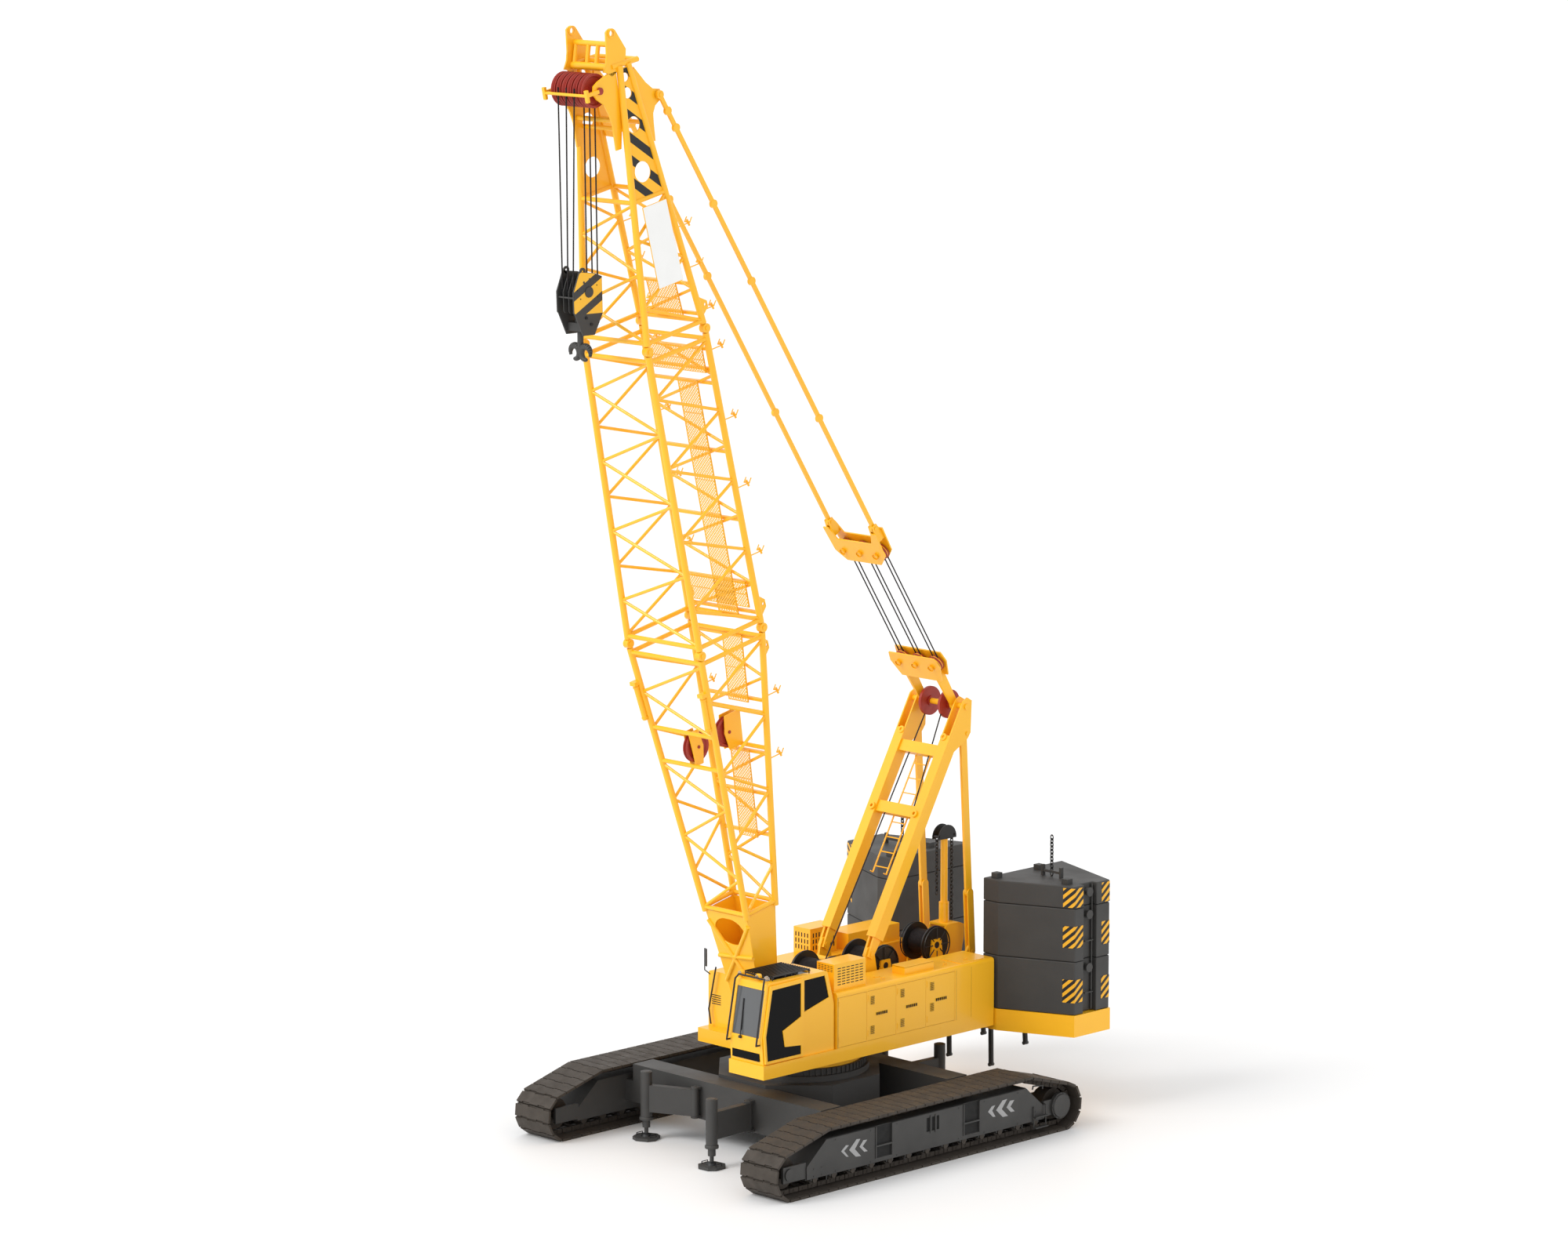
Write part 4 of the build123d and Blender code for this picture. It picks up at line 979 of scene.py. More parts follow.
# Cab: panes set into the openings, and the black tubes and bars round it
cab = {
    "front": 2.63, "lean": 0.19, "sill": 2.60, "rise": 1.13, "inset": 0.014, "thick": 0.008,
    "rearSide": ((1.45, 3.63), (0.88, 3.64), (0.76, 3.18), (1.45, 2.99)),
    "rightSide": ((1.12, 2.73), (2.50, 2.73), (2.37, 3.57), (1.12, 3.59)),
    "doorSide": ((1.59, 2.17), (2.52, 2.17), (2.56, 2.67), (2.385, 3.59), (1.59, 3.61),
                 (1.59, 2.93), (2.10, 2.72), (2.04, 2.39), (1.59, 2.35)),
    "rail": ((2.63, 0.70, 2.50), (2.72, 0.70, 2.50), (2.54, 0.76, 3.72), (2.48, 0.80, 3.80),
             (2.48, 1.52, 3.80), (2.54, 1.56, 3.72), (2.72, 1.53, 2.50), (2.63, 1.53, 2.50)),
    "houseRail": ((1.03, -1.50, 2.15), (1.03, -1.56, 2.45), (1.03, -1.35, 3.35)),
    "mirror": ((0.95, -1.60, 3.15), (0.97, -1.74, 3.22), (0.97, -1.74, 3.66)),
    "mirrorFace": ((0.95, -1.745, 3.31), (0.95, -1.745, 3.67), (0.99, -1.645, 3.67),
                   (0.99, -1.645, 3.31)),
    "slats": (13, 0.73, 0.065), "bars": (1.22, 1.56, 1.90, 2.24),
    "posts": ((1.22, 0.74), (1.22, 1.50), (2.24, 0.74), (2.24, 1.50)),
    "lamps": ((2.38, 0.78, 3.81), (2.38, 1.26, 3.81)), "lampFoot": (3.73, 3.79),
    "roofLamp": (2.3, 1.40, 3.74),
    "lampBody": ((0.0, 0.055), (0.05, 0.05), (0.062, 0.02), (0.05, -0.04), (0.0, -0.05)),
    "lampFace": ((0.0, 0.058), (0.046, 0.056), (0.046, 0.062), (0.0, 0.066)),
    "lampDome": ((0.0, 0.09), (0.03, 0.08), (0.055, 0.04), (0.06, 0.0), (0.0, 0.0)),
}


def cabFront(z):
    return cab["front"] - cab["lean"] * max(0, z - cab["sill"]) / cab["rise"]


def addSidePane(shape, outline, y, hand):
    low = y - hand * (cab["inset"] + cab["thick"])
    addSlab(shape, [(x, low, z) for x, z in outline], (0, hand * cab["thick"], 0))


def addFrontPane(shape, y, z):
    low, high = [(cabFront(level) - cab["inset"] - cab["thick"], level) for level in z]
    corners = [(low[0], y[0], low[1]), (low[0], y[1], low[1])]
    corners += [(high[0], y[1], high[1]), (high[0], y[0], high[1])]
    addSlab(shape, corners, (cab["thick"], 0, 0))


shape = bmesh.new()
addSidePane(shape, cab["rearSide"], 1.600, 1)
addSidePane(shape, cab["rightSide"], 0.690, -1)
addFrontPane(shape, (0.75, 1.51), (2.16, 2.32))
addBox(shape, (1.12, 0.82, 3.702), (2.17, 1.45, 3.710))
addPiece(shape, "cabPanes", "tintedGlass", "upper_works")
shape = bmesh.new()
addFrontPane(shape, (0.75, 1.51), (2.63, 3.57))
addPiece(shape, "cabScreen", "screenGlass", "upper_works")
shape = bmesh.new()
addSidePane(shape, cab["doorSide"], 1.650, 1)
addPiece(shape, "doorPane", "tintedGlass", "cab_door")

shape = bmesh.new()
for name, radius in (("rail", 0.019), ("houseRail", 0.017), ("mirror", 0.012)):
    addRail(shape, cab[name], radius)
count, first, pitch = cab["slats"]
for index in range(count):
    y = first + pitch * index
    addBox(shape, (cab["bars"][0], y - 0.008, 3.80), (cab["bars"][-1], y + 0.008, 3.826))
for x in cab["bars"]:
    addBox(shape, (x - 0.014, 0.715, 3.772), (x + 0.014, 1.525, 3.80))
for x, y in cab["posts"]:
    addRod(shape, (x, y, 3.72), (x, y, 3.78), 0.012, 8)
addRod(shape, (2.655, 1.01, 2.60), (2.52, 0.97, 3.24), 0.010, 8)
addBox(shape, (2.635, 0.98, 2.57), (2.675, 1.04, 2.62))
addRod(shape, (2.600, 0.985, 2.72), (2.505, 0.965, 3.34), 0.014, 8)
addSlab(shape, cab["mirrorFace"], (0.03, 0, 0))
addPiece(shape, "cabBlackwork", "blackEnamel", "upper_works")
shape, glass = bmesh.new(), bmesh.new()
for spot in cab["lamps"]:
    place = frameOf(spot, (0, 1, 0), (0, 0, 1))
    addTurned(shape, cab["lampBody"], place, 20)
    addTurned(glass, cab["lampFace"], place, 20)
    addRod(shape, (*spot[:2], cab["lampFoot"][0]), (*spot[:2], cab["lampFoot"][1]), 0.012, 8)
addRod(shape, (0.58, 1.40, 3.18), (0.58, 1.40, 3.34), 0.03, 12)
addPiece(shape, "cabLamps", "yellowEnamel", "upper_works")
addTurned(glass, cab["lampDome"], frameOf(cab["roofLamp"], (1, 0, 0), (0, 1, 0)), 20)
addPiece(glass, "cabLampGlass", "lampGlass", "upper_works")
print("cab dressed")

# Chain links of the counterweights and the lifting rod
links = {"pitch": 0.075, "radius": 0.011}

# Counterweights: slabs recessed on their outer face, with hazard squares, pegs and lifting blocks
weights = {
    "splits": (2.160, 3.270, 4.375, 4.845), "groove": 0.004,
    "outline": ((-4.01, 1.30), (-4.01, 1.72), (-4.66, 3.25), (-4.93, 3.25), (-4.93, 3.12), (-5.31, 3.12),
                (-5.31, 3.25), (-5.70, 3.25), (-6.38, 1.30)),
    "squares": (
        (((-4.558, 3.01), (-4.66, 3.25), (-4.90, 3.25)), ((4.40, 4.80), (3.56, 4.01), (2.42, 2.90))),
        (((-5.46, 3.25), (-5.70, 3.25), (-5.782, 3.014)), ((4.40, 4.81), (3.52, 4.00), (2.39, 2.86))),
    ),
    "blocks": ((-4.20, 1.50), (-5.40, 1.56), (-4.76, 2.93)), "blockSize": (0.16, 0.105),
    "stand": (-5.06, 2.24), "chains": {"left": (-5.10, 2.19), "right": (-5.18, 2.14)}, "chainTop": 5.68,
    "shade": ((-4.04, 1.33), (-4.04, 1.71), (-4.68, 3.22), (-4.90, 3.22), (-4.90, 3.09), (-5.34, 3.09),
              (-5.34, 3.22), (-5.68, 3.22), (-6.33, 1.33)), "shadeLow": 2.18, "shadeHigh": 2.64,
    "bracket": ((-5.02, 3.11), (-5.02, 3.21), (-5.24, 3.21), (-5.24, 3.11)), "brackets": (2.57, 3.65),
    "pegs": ((3.12, 3.225, 0.075), (3.225, 3.24, 0.095)), "pegDrop": 0.18, "film": 0.0005, "paint": 0.002,
}
hands = ((1, "left"), (-1, "right"))
for hand, side in hands:
    for index, (low, high) in enumerate(zip(weights["splits"], weights["splits"][1:])):
        shape = bmesh.new()
        outline = [(x, hand * y, low + weights["groove"]) for x, y in weights["outline"]]
        addSlab(shape, outline, (0, 0, high - low - 2 * weights["groove"]))
        addPiece(
            shape, f"{side}Slab{index + 1}", "charcoalEnamel", "upper_works", edge=0.02,
            replaced=(f"counterweight_{side}_{index + 1}",),
        )
    shape, core = bmesh.new(), bmesh.new()
    for path, heights in weights["squares"]:
        for low, high in heights:
            for start, end in zip(path, path[1:]):
                first, second = [Vector((x, hand * y, low)) for x, y in (start, end)]
                up = Vector((0, 0, high - low))
                out = (second - first).cross(up).normalized()
                out *= 1 if out.y * hand >= 0 else -1
                quad = [first, second, second + up, first + up]
                addSlab(shape, [point + out * weights["film"] for point in quad], out * weights["paint"])
    addPiece(shape, side + "WeightSquares", side + "Hazard", "upper_works")
    # A near-black core just inside the slab outline shows in the grooves between the slabs as painted shade
    outline = [(x, hand * y, weights["shadeLow"]) for x, y in weights["shade"]]
    addSlab(core, outline, (0, 0, weights["shadeHigh"]))
    addPiece(core, side + "WeightShade", "seamShadow", "upper_works")
    shape = bmesh.new()
    half, high = weights["blockSize"][0] / 2, weights["blockSize"][1]
    for x, y in weights["blocks"]:
        centre = Vector((x, hand * y, weights["splits"][-1]))
        addBox(shape, centre - Vector((half, half, 0.004)), centre + Vector((half, half, high)))
    for high in weights["splits"][1:]:
        for near, far, radius in weights["pegs"]:
            spot = (-5.12, 0, high - weights["pegDrop"])
            addPin(shape, spot, (hand * near, hand * far), radius, 24)
    addRod(shape, (-5.26, hand * 3.16, 2.2), (-5.26, hand * 3.16, 4.80), 0.018, 10)
    for z in weights["brackets"]:
        addRail(shape, [(x, hand * y, z) for x, y in weights["bracket"]], 0.013)
    middle = Vector((weights["stand"][0], hand * weights["stand"][1], weights["splits"][-1]))
    for y in (-0.25, 0.25):
        low, high = Vector((-0.04, y - 0.025, -0.004)), Vector((0.04, y + 0.025, 0.22))
        addBox(shape, middle + low, middle + high)
    addBox(shape, middle + Vector((-0.03, -0.25, 0.08)), middle + Vector((0.03, 0.25, 0.13)))
    addPiece(shape, side + "WeightFittings", "charcoalEnamel", "upper_works", edge=0.004)
    chain = bmesh.new()
    x, y = weights["chains"][side]
    ends = [(x, hand * y, z) for z in (weights["chainTop"], weights["splits"][-1] + 0.02)]
    addChain(chain, *ends, links["pitch"], links["radius"])
    addPiece(chain, side + "WeightChain", "blackEnamel", "upper_works")
print("weights dressed")

# Lifting rod with its black head, and the two chains that hang from it
lift = {
    "x": -4.21, "low": 3.640, "top": 5.46, "radius": 0.075, "arch": 0.265, "archHigh": 0.27,
    "chains": ((-3.99, 4.30), (-4.43, 3.66)), "pin": 5.50
}
shape, dark = bmesh.new(), bmesh.new()
addRod(shape, (lift["x"], 0, lift["low"]), (lift["x"], 0, lift["top"] + 0.1), lift["radius"], 28)
addPiece(shape, "liftRod", "yellowEnamel", "lift_rod", replaced=("lift_rod",))
outline = [(-lift["arch"], -0.02), (lift["arch"], -0.02)]
for step in range(1, 16):
    turn = math.pi * step / 16
    outline.append((math.cos(turn) * lift["arch"], math.sin(turn) * lift["archHigh"]))
for y in (-0.095, 0.075):
    addSlab(dark, [(lift["x"] + x, y, lift["top"] + z) for x, z in outline], (0, 0.02, 0))
addBox(dark, (lift["x"] - 0.10, -0.075, lift["top"] - 0.015), (lift["x"] + 0.10, 0.075, lift["top"] + 0.02))
chains = bmesh.new()
for x, low in lift["chains"]:
    addPin(dark, (x, 0, lift["pin"]), (-0.11, 0.11), 0.028, 14)
    addChain(chains, (x, 0, lift["pin"] - 0.02), (x, 0, low), links["pitch"], links["radius"])
addPiece(dark, "liftHead", "blackEnamel", "lift_rod")
liftChains = addPiece(chains, "liftChains", "blackEnamel", None)
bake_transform(liftChains)

# Mast: the ladder behind the cross beams
ladder = {
    "y": 0.19, "e": 0.13, "s": (1.70, 4.30), "rungs": 8, "first": 1.84, "step": 0.325, "rail": 0.018,
    "rung": 0.013, "foot": 0.012, "stand": 0.08,
}
shape = bmesh.new()
for hand in (-1, 1):
    y = hand * ladder["y"]
    ends = [mastAt(s, ladder["e"], y) for s in ladder["s"]]
    addRod(shape, *ends, ladder["rail"], 10)
    for end in ends:
        addRod(shape, end, end - mastBack * ladder["stand"], ladder["foot"], 8)
for index in range(ladder["rungs"]):
    centre = mastAt(ladder["first"] + index * ladder["step"], ladder["e"])
    addPin(shape, centre, (-ladder["y"], ladder["y"]), ladder["rung"], 8)
addPiece(shape, "mastLadder", "yellowEnamel", "mast")
print("mast dressed")

# Track frames: chevrons, steps and hanging hooks
track = {
    "face": 3.6185, "thick": 0.002,
    "chevrons": (
        ((2.449, 0.714), (2.314, 0.814), (2.234, 0.799), (2.366, 0.706), (2.241, 0.569), (2.303, 0.581)),
        ((2.227, 0.700), (2.019, 0.880), (1.915, 0.869), (2.067, 0.688), (1.896, 0.517), (2.042, 0.532)),
        ((1.939, 0.714), (1.827, 0.825), (1.723, 0.818), (1.851, 0.706), (1.711, 0.584), (1.806, 0.586)),
        ((-1.724, 0.751), (-1.833, 0.846), (-1.931, 0.852), (-1.846, 0.752), (-1.941, 0.613),
         (-1.868, 0.621)),
        ((-1.960, 0.743), (-2.147, 0.911), (-2.283, 0.916), (-2.124, 0.736), (-2.306, 0.564),
         (-2.155, 0.566)),
        ((-2.264, 0.746), (-2.369, 0.865), (-2.489, 0.858), (-2.379, 0.742), (-2.503, 0.624),
         (-2.392, 0.627)),
    ),
    "grab": ((-3.0, 0.98), (-3.02, 1.05), (-3.30, 1.02), (-3.30, 0.95)), "outer": 3.64,
    "rungs": (0.18, 0.40), "stringers": (-3.05, -3.40), "hooks": (2.79, 0.6, -2.79),
}
for hand, side in hands:
    marks, steps = bmesh.new(), bmesh.new()
    place = frameOf((0, hand * track["face"], 0), (1, 0, 0), (0, 0, 1))
    for outline in track["chevrons"]:
        addSheet(marks, [outline], track["thick"], place)
    addPiece(marks, side + "TrackMarks", "greyMarking", "undercarriage")
    y = hand * track["outer"]
    addRail(steps, [(x, y, z) for x, z in track["grab"]], 0.016)
    for x in track["stringers"]:
        addRail(steps, [(x, hand * 3.59, 0.62), (x, y, 0.60), (x, y, 0.16)], 0.014)
    for z in track["rungs"]:
        addSideBox(steps, (-3.41, -3.04), (track["outer"], 3.71), (z - 0.012, z + 0.012), hand)
    for x in track["hooks"]:
        addRod(steps, (x, hand * 3.55, 0.32), (x, hand * 3.55, 0.20), 0.016, 10)
    addPiece(steps, side + "TrackSteps", "charcoalEnamel", "undercarriage")
print("tracks dressed")

# Tracks: interlocking shoes on a pair of link rails, in place of the source's plain shoes
belt = {
    "centre": 3.25, "wheel": 0.5, "wheelX": 3.85, "height": 1.29, "topRun": 5.7, "shoes": 70, "gap": 0.022,
    "thick": 0.085, "tooth": 0.021, "low": -0.017, "steps": (-0.5, -0.33, -0.13, 0.13, 0.33, 0.5),
    "plate": 0.05, "railThick": 0.085, "rails": (-0.19, 0.19), "pin": 0.23, "middle": 0.64,
    "bolts": ((-0.04, 0.23), (0.04, 0.23), (-0.04, -0.23), (0.04, -0.23), (0, 0.42), (0, -0.42)),
}


def beltPlaces(inset, count):
    # Points and headings spaced evenly round the loop
    radius, top = belt["wheel"] - inset, belt["height"] - inset
    outline = [(belt["wheelX"], inset), (-belt["wheelX"], inset)]
    topRun = [(-belt["topRun"] / 2, top), (belt["topRun"] / 2, top)]
    for end, degrees, after in (
        (-1, range(260, 99, -10), topRun), (1, range(80, -81, -10), outline[:1])
    ):
        for turn in [math.radians(value) for value in degrees]:
            x = end * belt["wheelX"] + radius * math.cos(turn)
            outline.append((x, belt["wheel"] + radius * math.sin(turn)))
        outline += after
    corners = [Vector((x, 0, z)) for x, z in outline]
    spans = [(end - start).length for start, end in zip(corners, corners[1:])]
    step = sum(spans) / count
    for index in range(count):
        far = index * step
        for start, end, span in zip(corners, corners[1:], spans):
            if far <= span:
                yield start.lerp(end, far / span), (end - start).normalized(), step
                break
            far -= span


for hand, side in hands:
    shoes, rails = bmesh.new(), bmesh.new()
    for centre, along, step in beltPlaces(belt["thick"] / 2, belt["shoes"]):
        outward = along.cross(sideways(1))
        outward *= -1 if (centre - Vector((0, 0, belt["middle"]))).dot(outward) < 0 else 1
        origin = centre + sideways(hand * belt["centre"])
        half = (step - belt["gap"]) / 2
        front, back = [], []
        for index, (start, end) in enumerate(zip(belt["steps"], belt["steps"][1:])):
            shift = belt["tooth"] / 2 * (1 if index % 2 == 0 else -1)
            front += [(half + shift, start), (half + shift, end)]
            back += [(shift - half, start), (shift - half, end)]
        inner = outward * (belt["thick"] / 2 - belt["plate"])
        flat = [origin + along * x + sideways(y) + inner for x, y in front + back[::-1]]
        addSlab(shoes, flat, outward * belt["plate"])
        place = frameOf(origin, along, (0, 1, 0))
        addBox(shoes, (-half - 0.013, -0.47, -0.022), (half + 0.013, 0.47, 0.018), place)
        for x, y in belt["bolts"]:
            spot = origin + along * x + sideways(y) + outward * belt["thick"] / 2
            addRod(shoes, spot - outward * 0.01, spot + outward * 0.0005, 0.012, 8)
    for vertex in shoes.verts:
        vertex.co.z = max(vertex.co.z, belt["low"])
    for centre, along, step in beltPlaces(belt["thick"] + belt["railThick"] / 2, belt["shoes"]):
        origin = centre + sideways(hand * belt["centre"])
        place = frameOf(origin, along, (0, 1, 0))
        for y in belt["rails"]:
            addBox(rails, (-step * 0.46, y - 0.03, -0.045), (step * 0.46, y + 0.03, 0.045), place)
        addPin(rails, origin, (-belt["pin"], belt["pin"]), 0.03, 10)
    addPiece(shoes, side + "TrackShoes", "castTrackSteel", "undercarriage", replaced=("track_" + side,))
    addPiece(rails, side + "TrackLinks", "castTrackSteel", "undercarriage")

# Side frames: face plates that leave two bays open, rollers below, sprocket cover behind
frames = {
    "face": 3.59, "proud": 0.026, "shade": (3.588, 3.5915),
    "plates": (
        ((1.50, 0.31), (3.39, 0.31), (3.39, 0.57), (2.85, 1.03), (1.50, 1.03)),
        ((-1.50, 0.31), (-3.30, 0.31), (-3.30, 0.62), (-2.85, 1.03), (-1.50, 1.03)),
        ((-1.50, 0.31), (1.50, 0.31), (1.50, 0.39), (-1.50, 0.39)),
    ),
    "window": ((-0.317, 0.658), (0.045, 0.658), (0.045, 0.943), (-0.317, 0.943)),
    "bays": ((1.0, 1.5), (-1.5, -1.0)),
    "rollers": 13, "roller": 0.088, "rollerZ": 0.270, "rollerReach": 3.15,
    "panel": ((-1.0, 0.39), (1.0, 0.39), (1.0, 1.03), (-1.0, 1.03)), "slats": (-0.21, -0.07),
    "bolts": (3.20, 2.98, 2.60, 1.62, 0.88, -0.88, -1.62, -2.60, -3.12), "cover": (-3.86, 0.5, 0.27),
    "coverBolts": 14,
}
for hand, side in hands:
    shape, dark, rollers = bmesh.new(), bmesh.new(), bmesh.new()
    middle = frames["face"] + frames["proud"] / 2
    place = frameOf((0, hand * middle, 0), (1, 0, 0), (0, 0, 1))
    for outlines in [(outline,) for outline in frames["plates"]] + [(frames["panel"], frames["window"])]:
        addSheet(shape, outlines, frames["proud"], place)
    for x in frames["slats"]:
        addSideBox(shape, (x - 0.018, x + 0.018), (3.56, 3.63), (0.62, 0.98), hand)
    # Near-black sheets at the back of the two bays and of the window are painted shade
    for low, high in frames["bays"]:
        addSideBox(dark, (low, high), frames["shade"], (0.40, 1.03), hand)
        addSideBox(shape, (low, high), (3.58, 3.64), (0.62, 0.65), hand)
        for x in (low + 0.02, high - 0.02):
            addSideBox(shape, (x - 0.015, x + 0.015), (3.58, 3.63), (0.39, 1.03), hand)
    addSideBox(dark, (-0.317, 0.045), frames["shade"], (0.658, 0.943), hand)
    outer = hand * (frames["face"] + frames["proud"])
    for x in frames["bolts"]:
        for z in (0.35, 0.98 if abs(x) < 2.7 else 0.50):
            addPin(shape, (x, outer, z), (0, hand * 0.009), 0.014, 6)
    for index in range(frames["rollers"]):
        x = frames["rollerReach"] * (2 * index / (frames["rollers"] - 1) - 1)
        addPin(rollers, (x, 0, frames["rollerZ"]), (hand * 3.00, hand * 3.50), frames["roller"], 20)
        addPin(rollers, (x, 0, frames["rollerZ"]), (hand * 3.50, hand * 3.60), 0.06, 16)
        addSideBox(shape, (x - 0.10, x + 0.10), (3.52, 3.58), (0.255, 0.315), hand)
    x, z, radius = frames["cover"]
    cover = acrossAt((x, 0, z))
    profile = ((0, 3.665), (0.86, 3.665), (0.90, 3.640), (1, 3.640), (1, 3.56))
    addTurned(shape, [(radius * part, hand * y) for part, y in profile], cover, 40)
    for boltX, boltZ in circle(x, z, radius * 0.95, frames["coverBolts"]):
        addPin(shape, (boltX, hand * 3.640, boltZ), (0, hand * 0.012), 0.010, 6)
    addPin(shape, (3.85, 0, 0.5), (hand * 3.56, hand * 3.62), 0.12, 24)
    addPiece(shape, side + "FramePlates", "charcoalEnamel", "undercarriage")
    addPiece(dark, side + "FrameBays", "seamShadow", "undercarriage")
    addPiece(rollers, side + "TrackRollers", "castTrackSteel", "undercarriage")

# Jacks: glands and caps on the cylinders, collars and handles on the pads
jacks = {
    "places": {"front_left": (3.2485, 0.8155), "front_right": (2.621, -1.7285),
               "rear_left": (-3.2485, 0.8155), "rear_right": (-3.2485, -0.8155)},
    "cap": ((0.0, 1.412), (0.085, 1.412), (0.10, 1.398), (0.10, 1.37)),
    "gland": ((0.083, 0.405), (0.135, 0.405), (0.14, 0.42), (0.14, 0.455), (0.125, 0.47)),
    "foot": ((0.043, 0.13), (0.09, 0.11), (0.11, 0.066), (0.04, 0.066)),
    "handle": ((-0.08, 0.06), (-0.08, 0.11), (0.08, 0.11), (0.08, 0.06)), "handleY": 0.2,
}
for name, (x, y) in jacks["places"].items():
    title = "jack" + name.title().replace("_", "")
    place = Matrix.Translation((x, y, 0))
    shape = bmesh.new()
    addTurned(shape, jacks["cap"], place, 28)
    addTurned(shape, jacks["gland"], place, 28)
    addPiece(shape, title + "Gland", "charcoalEnamel", "jack_arm_" + name)
    shape = bmesh.new()
    addTurned(shape, jacks["foot"], place, 24)
    for hand in (-1, 1):
        addRail(shape, [(x + off, y + hand * jacks["handleY"], z) for off, z in jacks["handle"]], 0.009)
    addPiece(shape, title + "Pad", "blackEnamel", "jack_rod_" + name)
print("running gear dressed")

# Machinery houses: vents on the doors, slots and seams on the walls and roof boxes; the vent slats and
# slots are near-black sheets of painted shade
vents = {
    "columns": {"left_door_2": (-0.42, 2.32), "left_door_3": (-1.28, 2.32), "left_door_4": (-2.14, 2.50),
                "right_door_1": (0.6, 2.32), "right_door_2": (-1.9, 2.32)},
    "face": (1.6612, 1.6635), "upper": 2.93, "rows": 7, "rowPitch": 0.025, "half": 0.055, "slat": 0.009,
    "slots": 6, "slotPitch": 0.055, "slotFrom": 0.42,
}
for name, (x, lower) in vents["columns"].items():
    hand = 1 if name.startswith("left") else -1
    shape = bmesh.new()
    for z in (vents["upper"], lower):
        for row in range(vents["rows"]):
            low = z - 0.08 + row * vents["rowPitch"]
            reach = (x - vents["half"], x + vents["half"])
            addSideBox(shape, reach, vents["face"], (low, low + vents["slat"]), hand)
    for index in range(vents["slots"]):
        left = x - vents["slotFrom"] + index * vents["slotPitch"]
        addSideBox(shape, (left, left + 0.032), vents["face"], (2.60, 2.66), hand)
    addPiece(shape, name.replace("_door_", "Door") + "Vents", "seamShadow", name)

# Slot fields, near-black sheets of painted shade: the way they run, the face they stand on, the first slot,
# the pitch, the size, how many
slotFields = (
    ("x", (1.4985, 1.502), (-0.30, 3.34), (0.125, 0.055), (0.09, 0.018), (6, 7)),
    ("y", (0.5185, 0.522), (1.06, 3.62), (0.085, 0.035), (0.06, 0.012), (5, 4)),
    ("x", (-1.0715, -1.068), (-2.08, 3.34), (0.085, 0.13), (0.03, 0.09), (8, 3)),
    ("y", (-1.3815, -1.378), (-1.50, 3.34), (0.085, 0.13), (0.03, 0.09), (5, 3)),
    ("y", (0.9485, 0.952), (-1.55, 2.55), (0, 0.045), (0.26, 0.018), (1, 5)),
)
trim = {
    "seams": (-3.30, -2.86, 0.56, 0.548), "handles": (-3.4, -2.8, -1.0, 0.2),
    "handle": ((0, 3.225), (0, 3.27), (0.09, 3.27), (0.09, 3.225)),
    "bolts": (2.2, 1.6, 1.0, 0.3, -0.6, -1.5, -2.4, -3.3),
}
shape = bmesh.new()
for way, face, first, pitch, size, count in slotFields:
    for row in range(count[1]):
        for column in range(count[0]):
            left, z = first[0] + column * pitch[0], first[1] + row * pitch[1]
            x, y = ((left, left + size[0]), face) if way == "x" else (face, (left, left + size[0]))
            addSideBox(shape, x, y, (z, z + size[1]), 1)
for x in trim["seams"]:
    addBox(shape, (x - 0.002, 1.6490, 2.10), (x + 0.002, 1.6512, 3.14))
addPiece(shape, "houseLouvres", "seamShadow", "upper_works")
shape = bmesh.new()
for x in (-1.0, 0.1):
    addBox(shape, (x - 0.07, 1.17, 3.228), (x + 0.07, 1.23, 3.246))
addBox(shape, (-2.38, 1.12, 3.37), (-1.53, 1.47, 3.395))
addBox(shape, (-3.72, 1.02, 3.228), (-3.05, 1.58, 3.246))
for x in trim["handles"]:
    addRail(shape, [(x + off, 1.42, z) for off, z in trim["handle"]], 0.008)
for x in trim["bolts"]:
    addPin(shape, (x, 1.648, 2.02), (0, 0.007), 0.012, 6)
addPiece(shape, "houseTrim", "yellowEnamel", "upper_works", edge=0.003)

# Winches: a raised ring and spokes on each flange
drums = {
    "winch_drum_front": (-0.55, 3.18, 0.425, 0.40), "winch_drum_rear": (-2.03, 3.18, 0.425, 0.40),
    "luffing_drum": (-3.65, 3.33, 0.345, 0.38),
}
rim, spokes = ((0.94, -0.008), (0.97, 0.012), (1, 0.012), (1.01, -0.008)), 8
for name, (x, z, y, radius) in drums.items():
    shape = bmesh.new()
    for hand in (-1, 1):
        centre = Vector((x, hand * y, z))
        addTurned(shape, [(part * radius, height) for part, height in rim], acrossAt(centre), 40)
        for spokeX, spokeZ in circle(0, 0, 1, spokes):
            out = Vector((spokeX, 0, spokeZ))
            addRod(shape, centre + out * 0.12, centre + out * radius * 0.92, 0.012, 6)
    addPiece(shape, name.replace("_", "") + "Ribs", "blackEnamel", name)

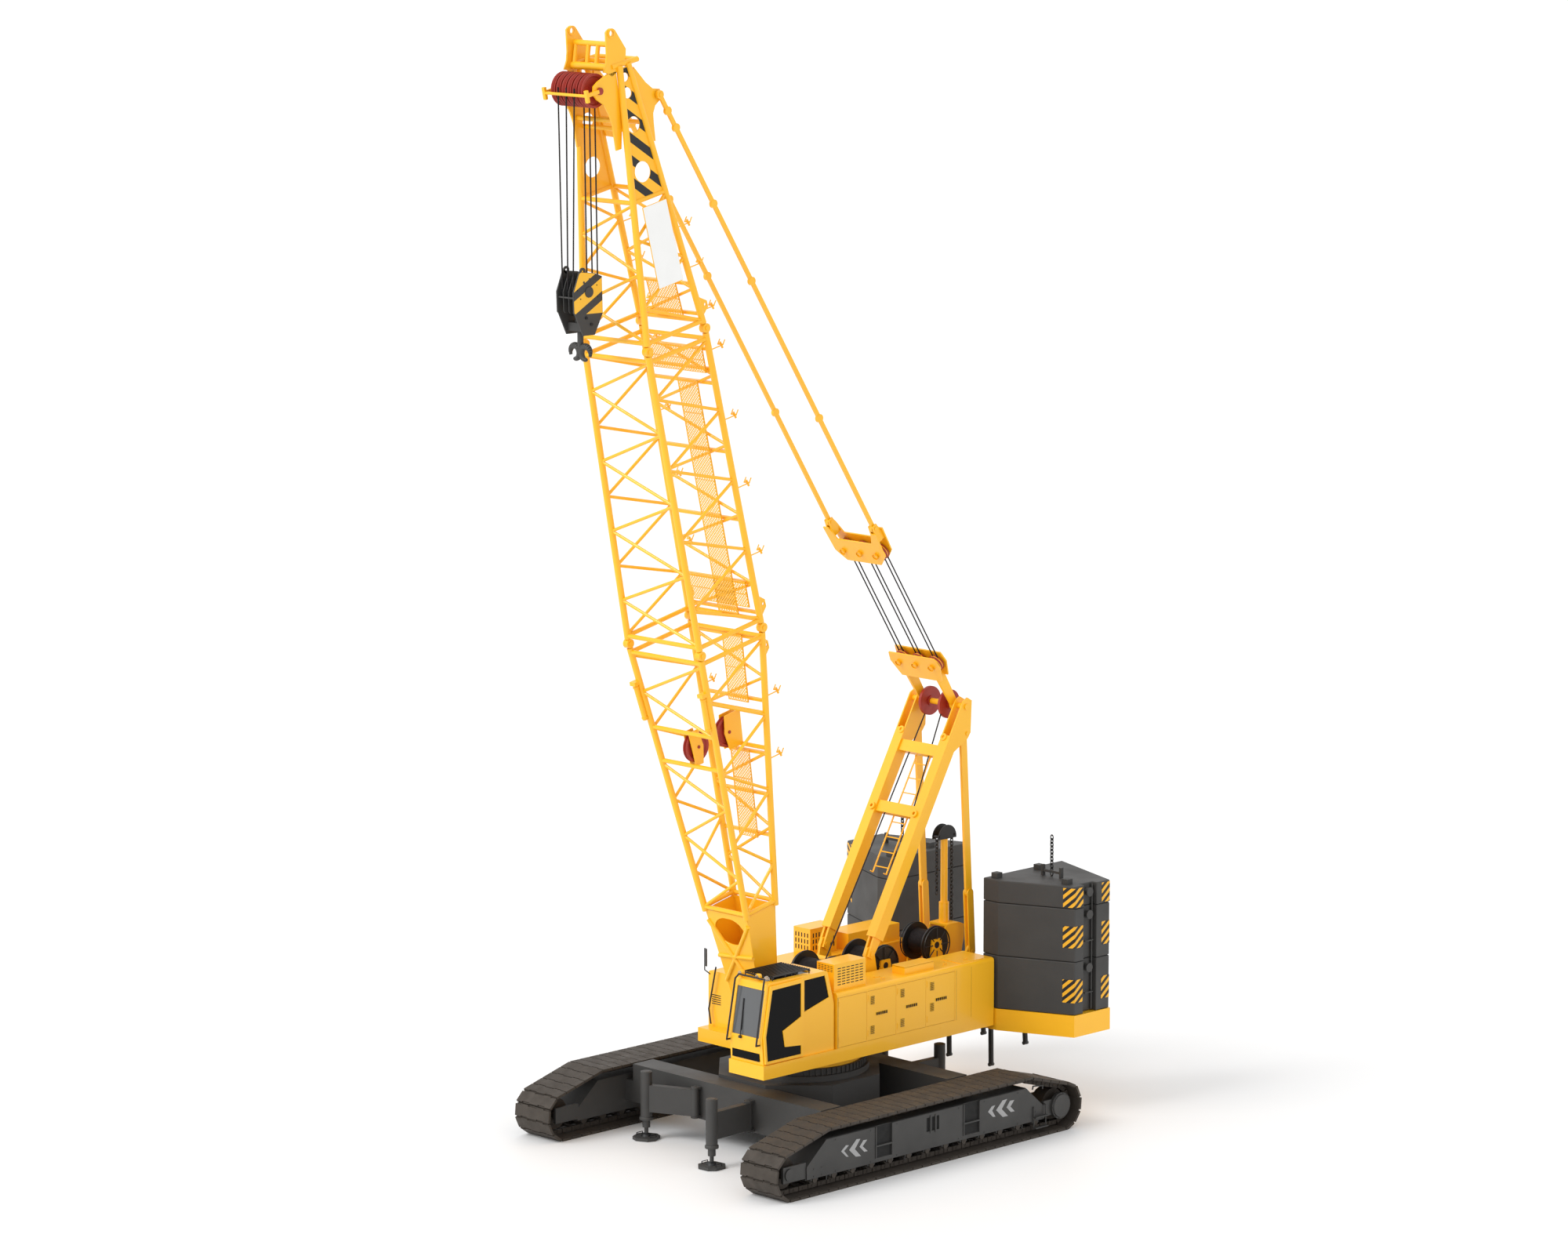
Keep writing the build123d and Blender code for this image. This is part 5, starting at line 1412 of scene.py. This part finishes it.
# Legs under the counterweight tray, each with a foot bar
legs = {
    "lines": (((-5.0, 0.6, 1.72), (-5.02, 0.6, 0.62)), ((-6.0, 0.6, 1.72), (-6.06, 0.6, 0.90))),
    "radius": 0.055, "bar": 0.04, "collar": 0.085,
}
shape = bmesh.new()
for line in legs["lines"]:
    for hand in (-1, 1):
        start, end = [Vector((x, hand * y, z)) for x, y, z in line]
        addRod(shape, start, end, legs["radius"], 14)
        addRod(shape, end - Vector((0.06, 0, 0)), end + Vector((0.06, 0, 0)), legs["bar"], 12)
        addRod(shape, start - Vector((0, 0, 0.02)), start - Vector((0, 0, 0.10)), legs["collar"], 16)
addPiece(shape, "trayLegs", "blackEnamel", "upper_works")

# Mast: eyes along its legs
eyes = {"places": ((3.0, -0.16), (2.2, 0.14), (4.7, -0.14)), "y": 0.60}
shape = bmesh.new()
for hand in (-1, 1):
    for s, e in eyes["places"]:
        place = frameOf(mastAt(s, e, hand * eyes["y"]), (0, 1, 0), mastUp)
        addTurned(shape, bossProfile(0.035, 0.075, 0.02), place, 18)
addPiece(shape, "mastEyes", "yellowEnamel", "mast")
print("upper works dressed")

# Studio: a white floor and sky, and a wide soft key from the front left
studio = {"floorSize": 3000, "sky": 1.0, "key": 1.5, "keySpread": 28, "keyTurn": (48, 0, 72)}
floorShape = bmesh.new()
bmesh.ops.create_grid(floorShape, x_segments=1, y_segments=1, size=studio["floorSize"] / 2)
floorMesh = bpy.data.meshes.new("floor")
floorShape.to_mesh(floorMesh)
floorShape.free()
floor = bpy.data.objects.new("floor", floorMesh)
scene.collection.objects.link(floor)
floorPaint, floorTree, floorShader = newMaterial("studioFloor")
floorShader.inputs["Base Color"].default_value = linearColour("#EDEDED")
floorShader.inputs["Roughness"].default_value = 0.55
floorMesh.materials.append(floorPaint)

world = bpy.data.worlds.new("studioSky")
world.use_nodes = True
world.node_tree.nodes["Background"].inputs["Color"].default_value = (1, 1, 1, 1)
world.node_tree.nodes["Background"].inputs["Strength"].default_value = studio["sky"]
scene.world = world
keyData = bpy.data.lights.new("key", "SUN")
keyData.energy = studio["key"]
keyData.angle = math.radians(studio["keySpread"])
key = bpy.data.objects.new("key", keyData)
key.rotation_euler = [math.radians(a) for a in studio["keyTurn"]]
scene.collection.objects.link(key)
scene.view_settings.view_transform = "Standard"
scene.view_settings.look = "None"
print("studio set")
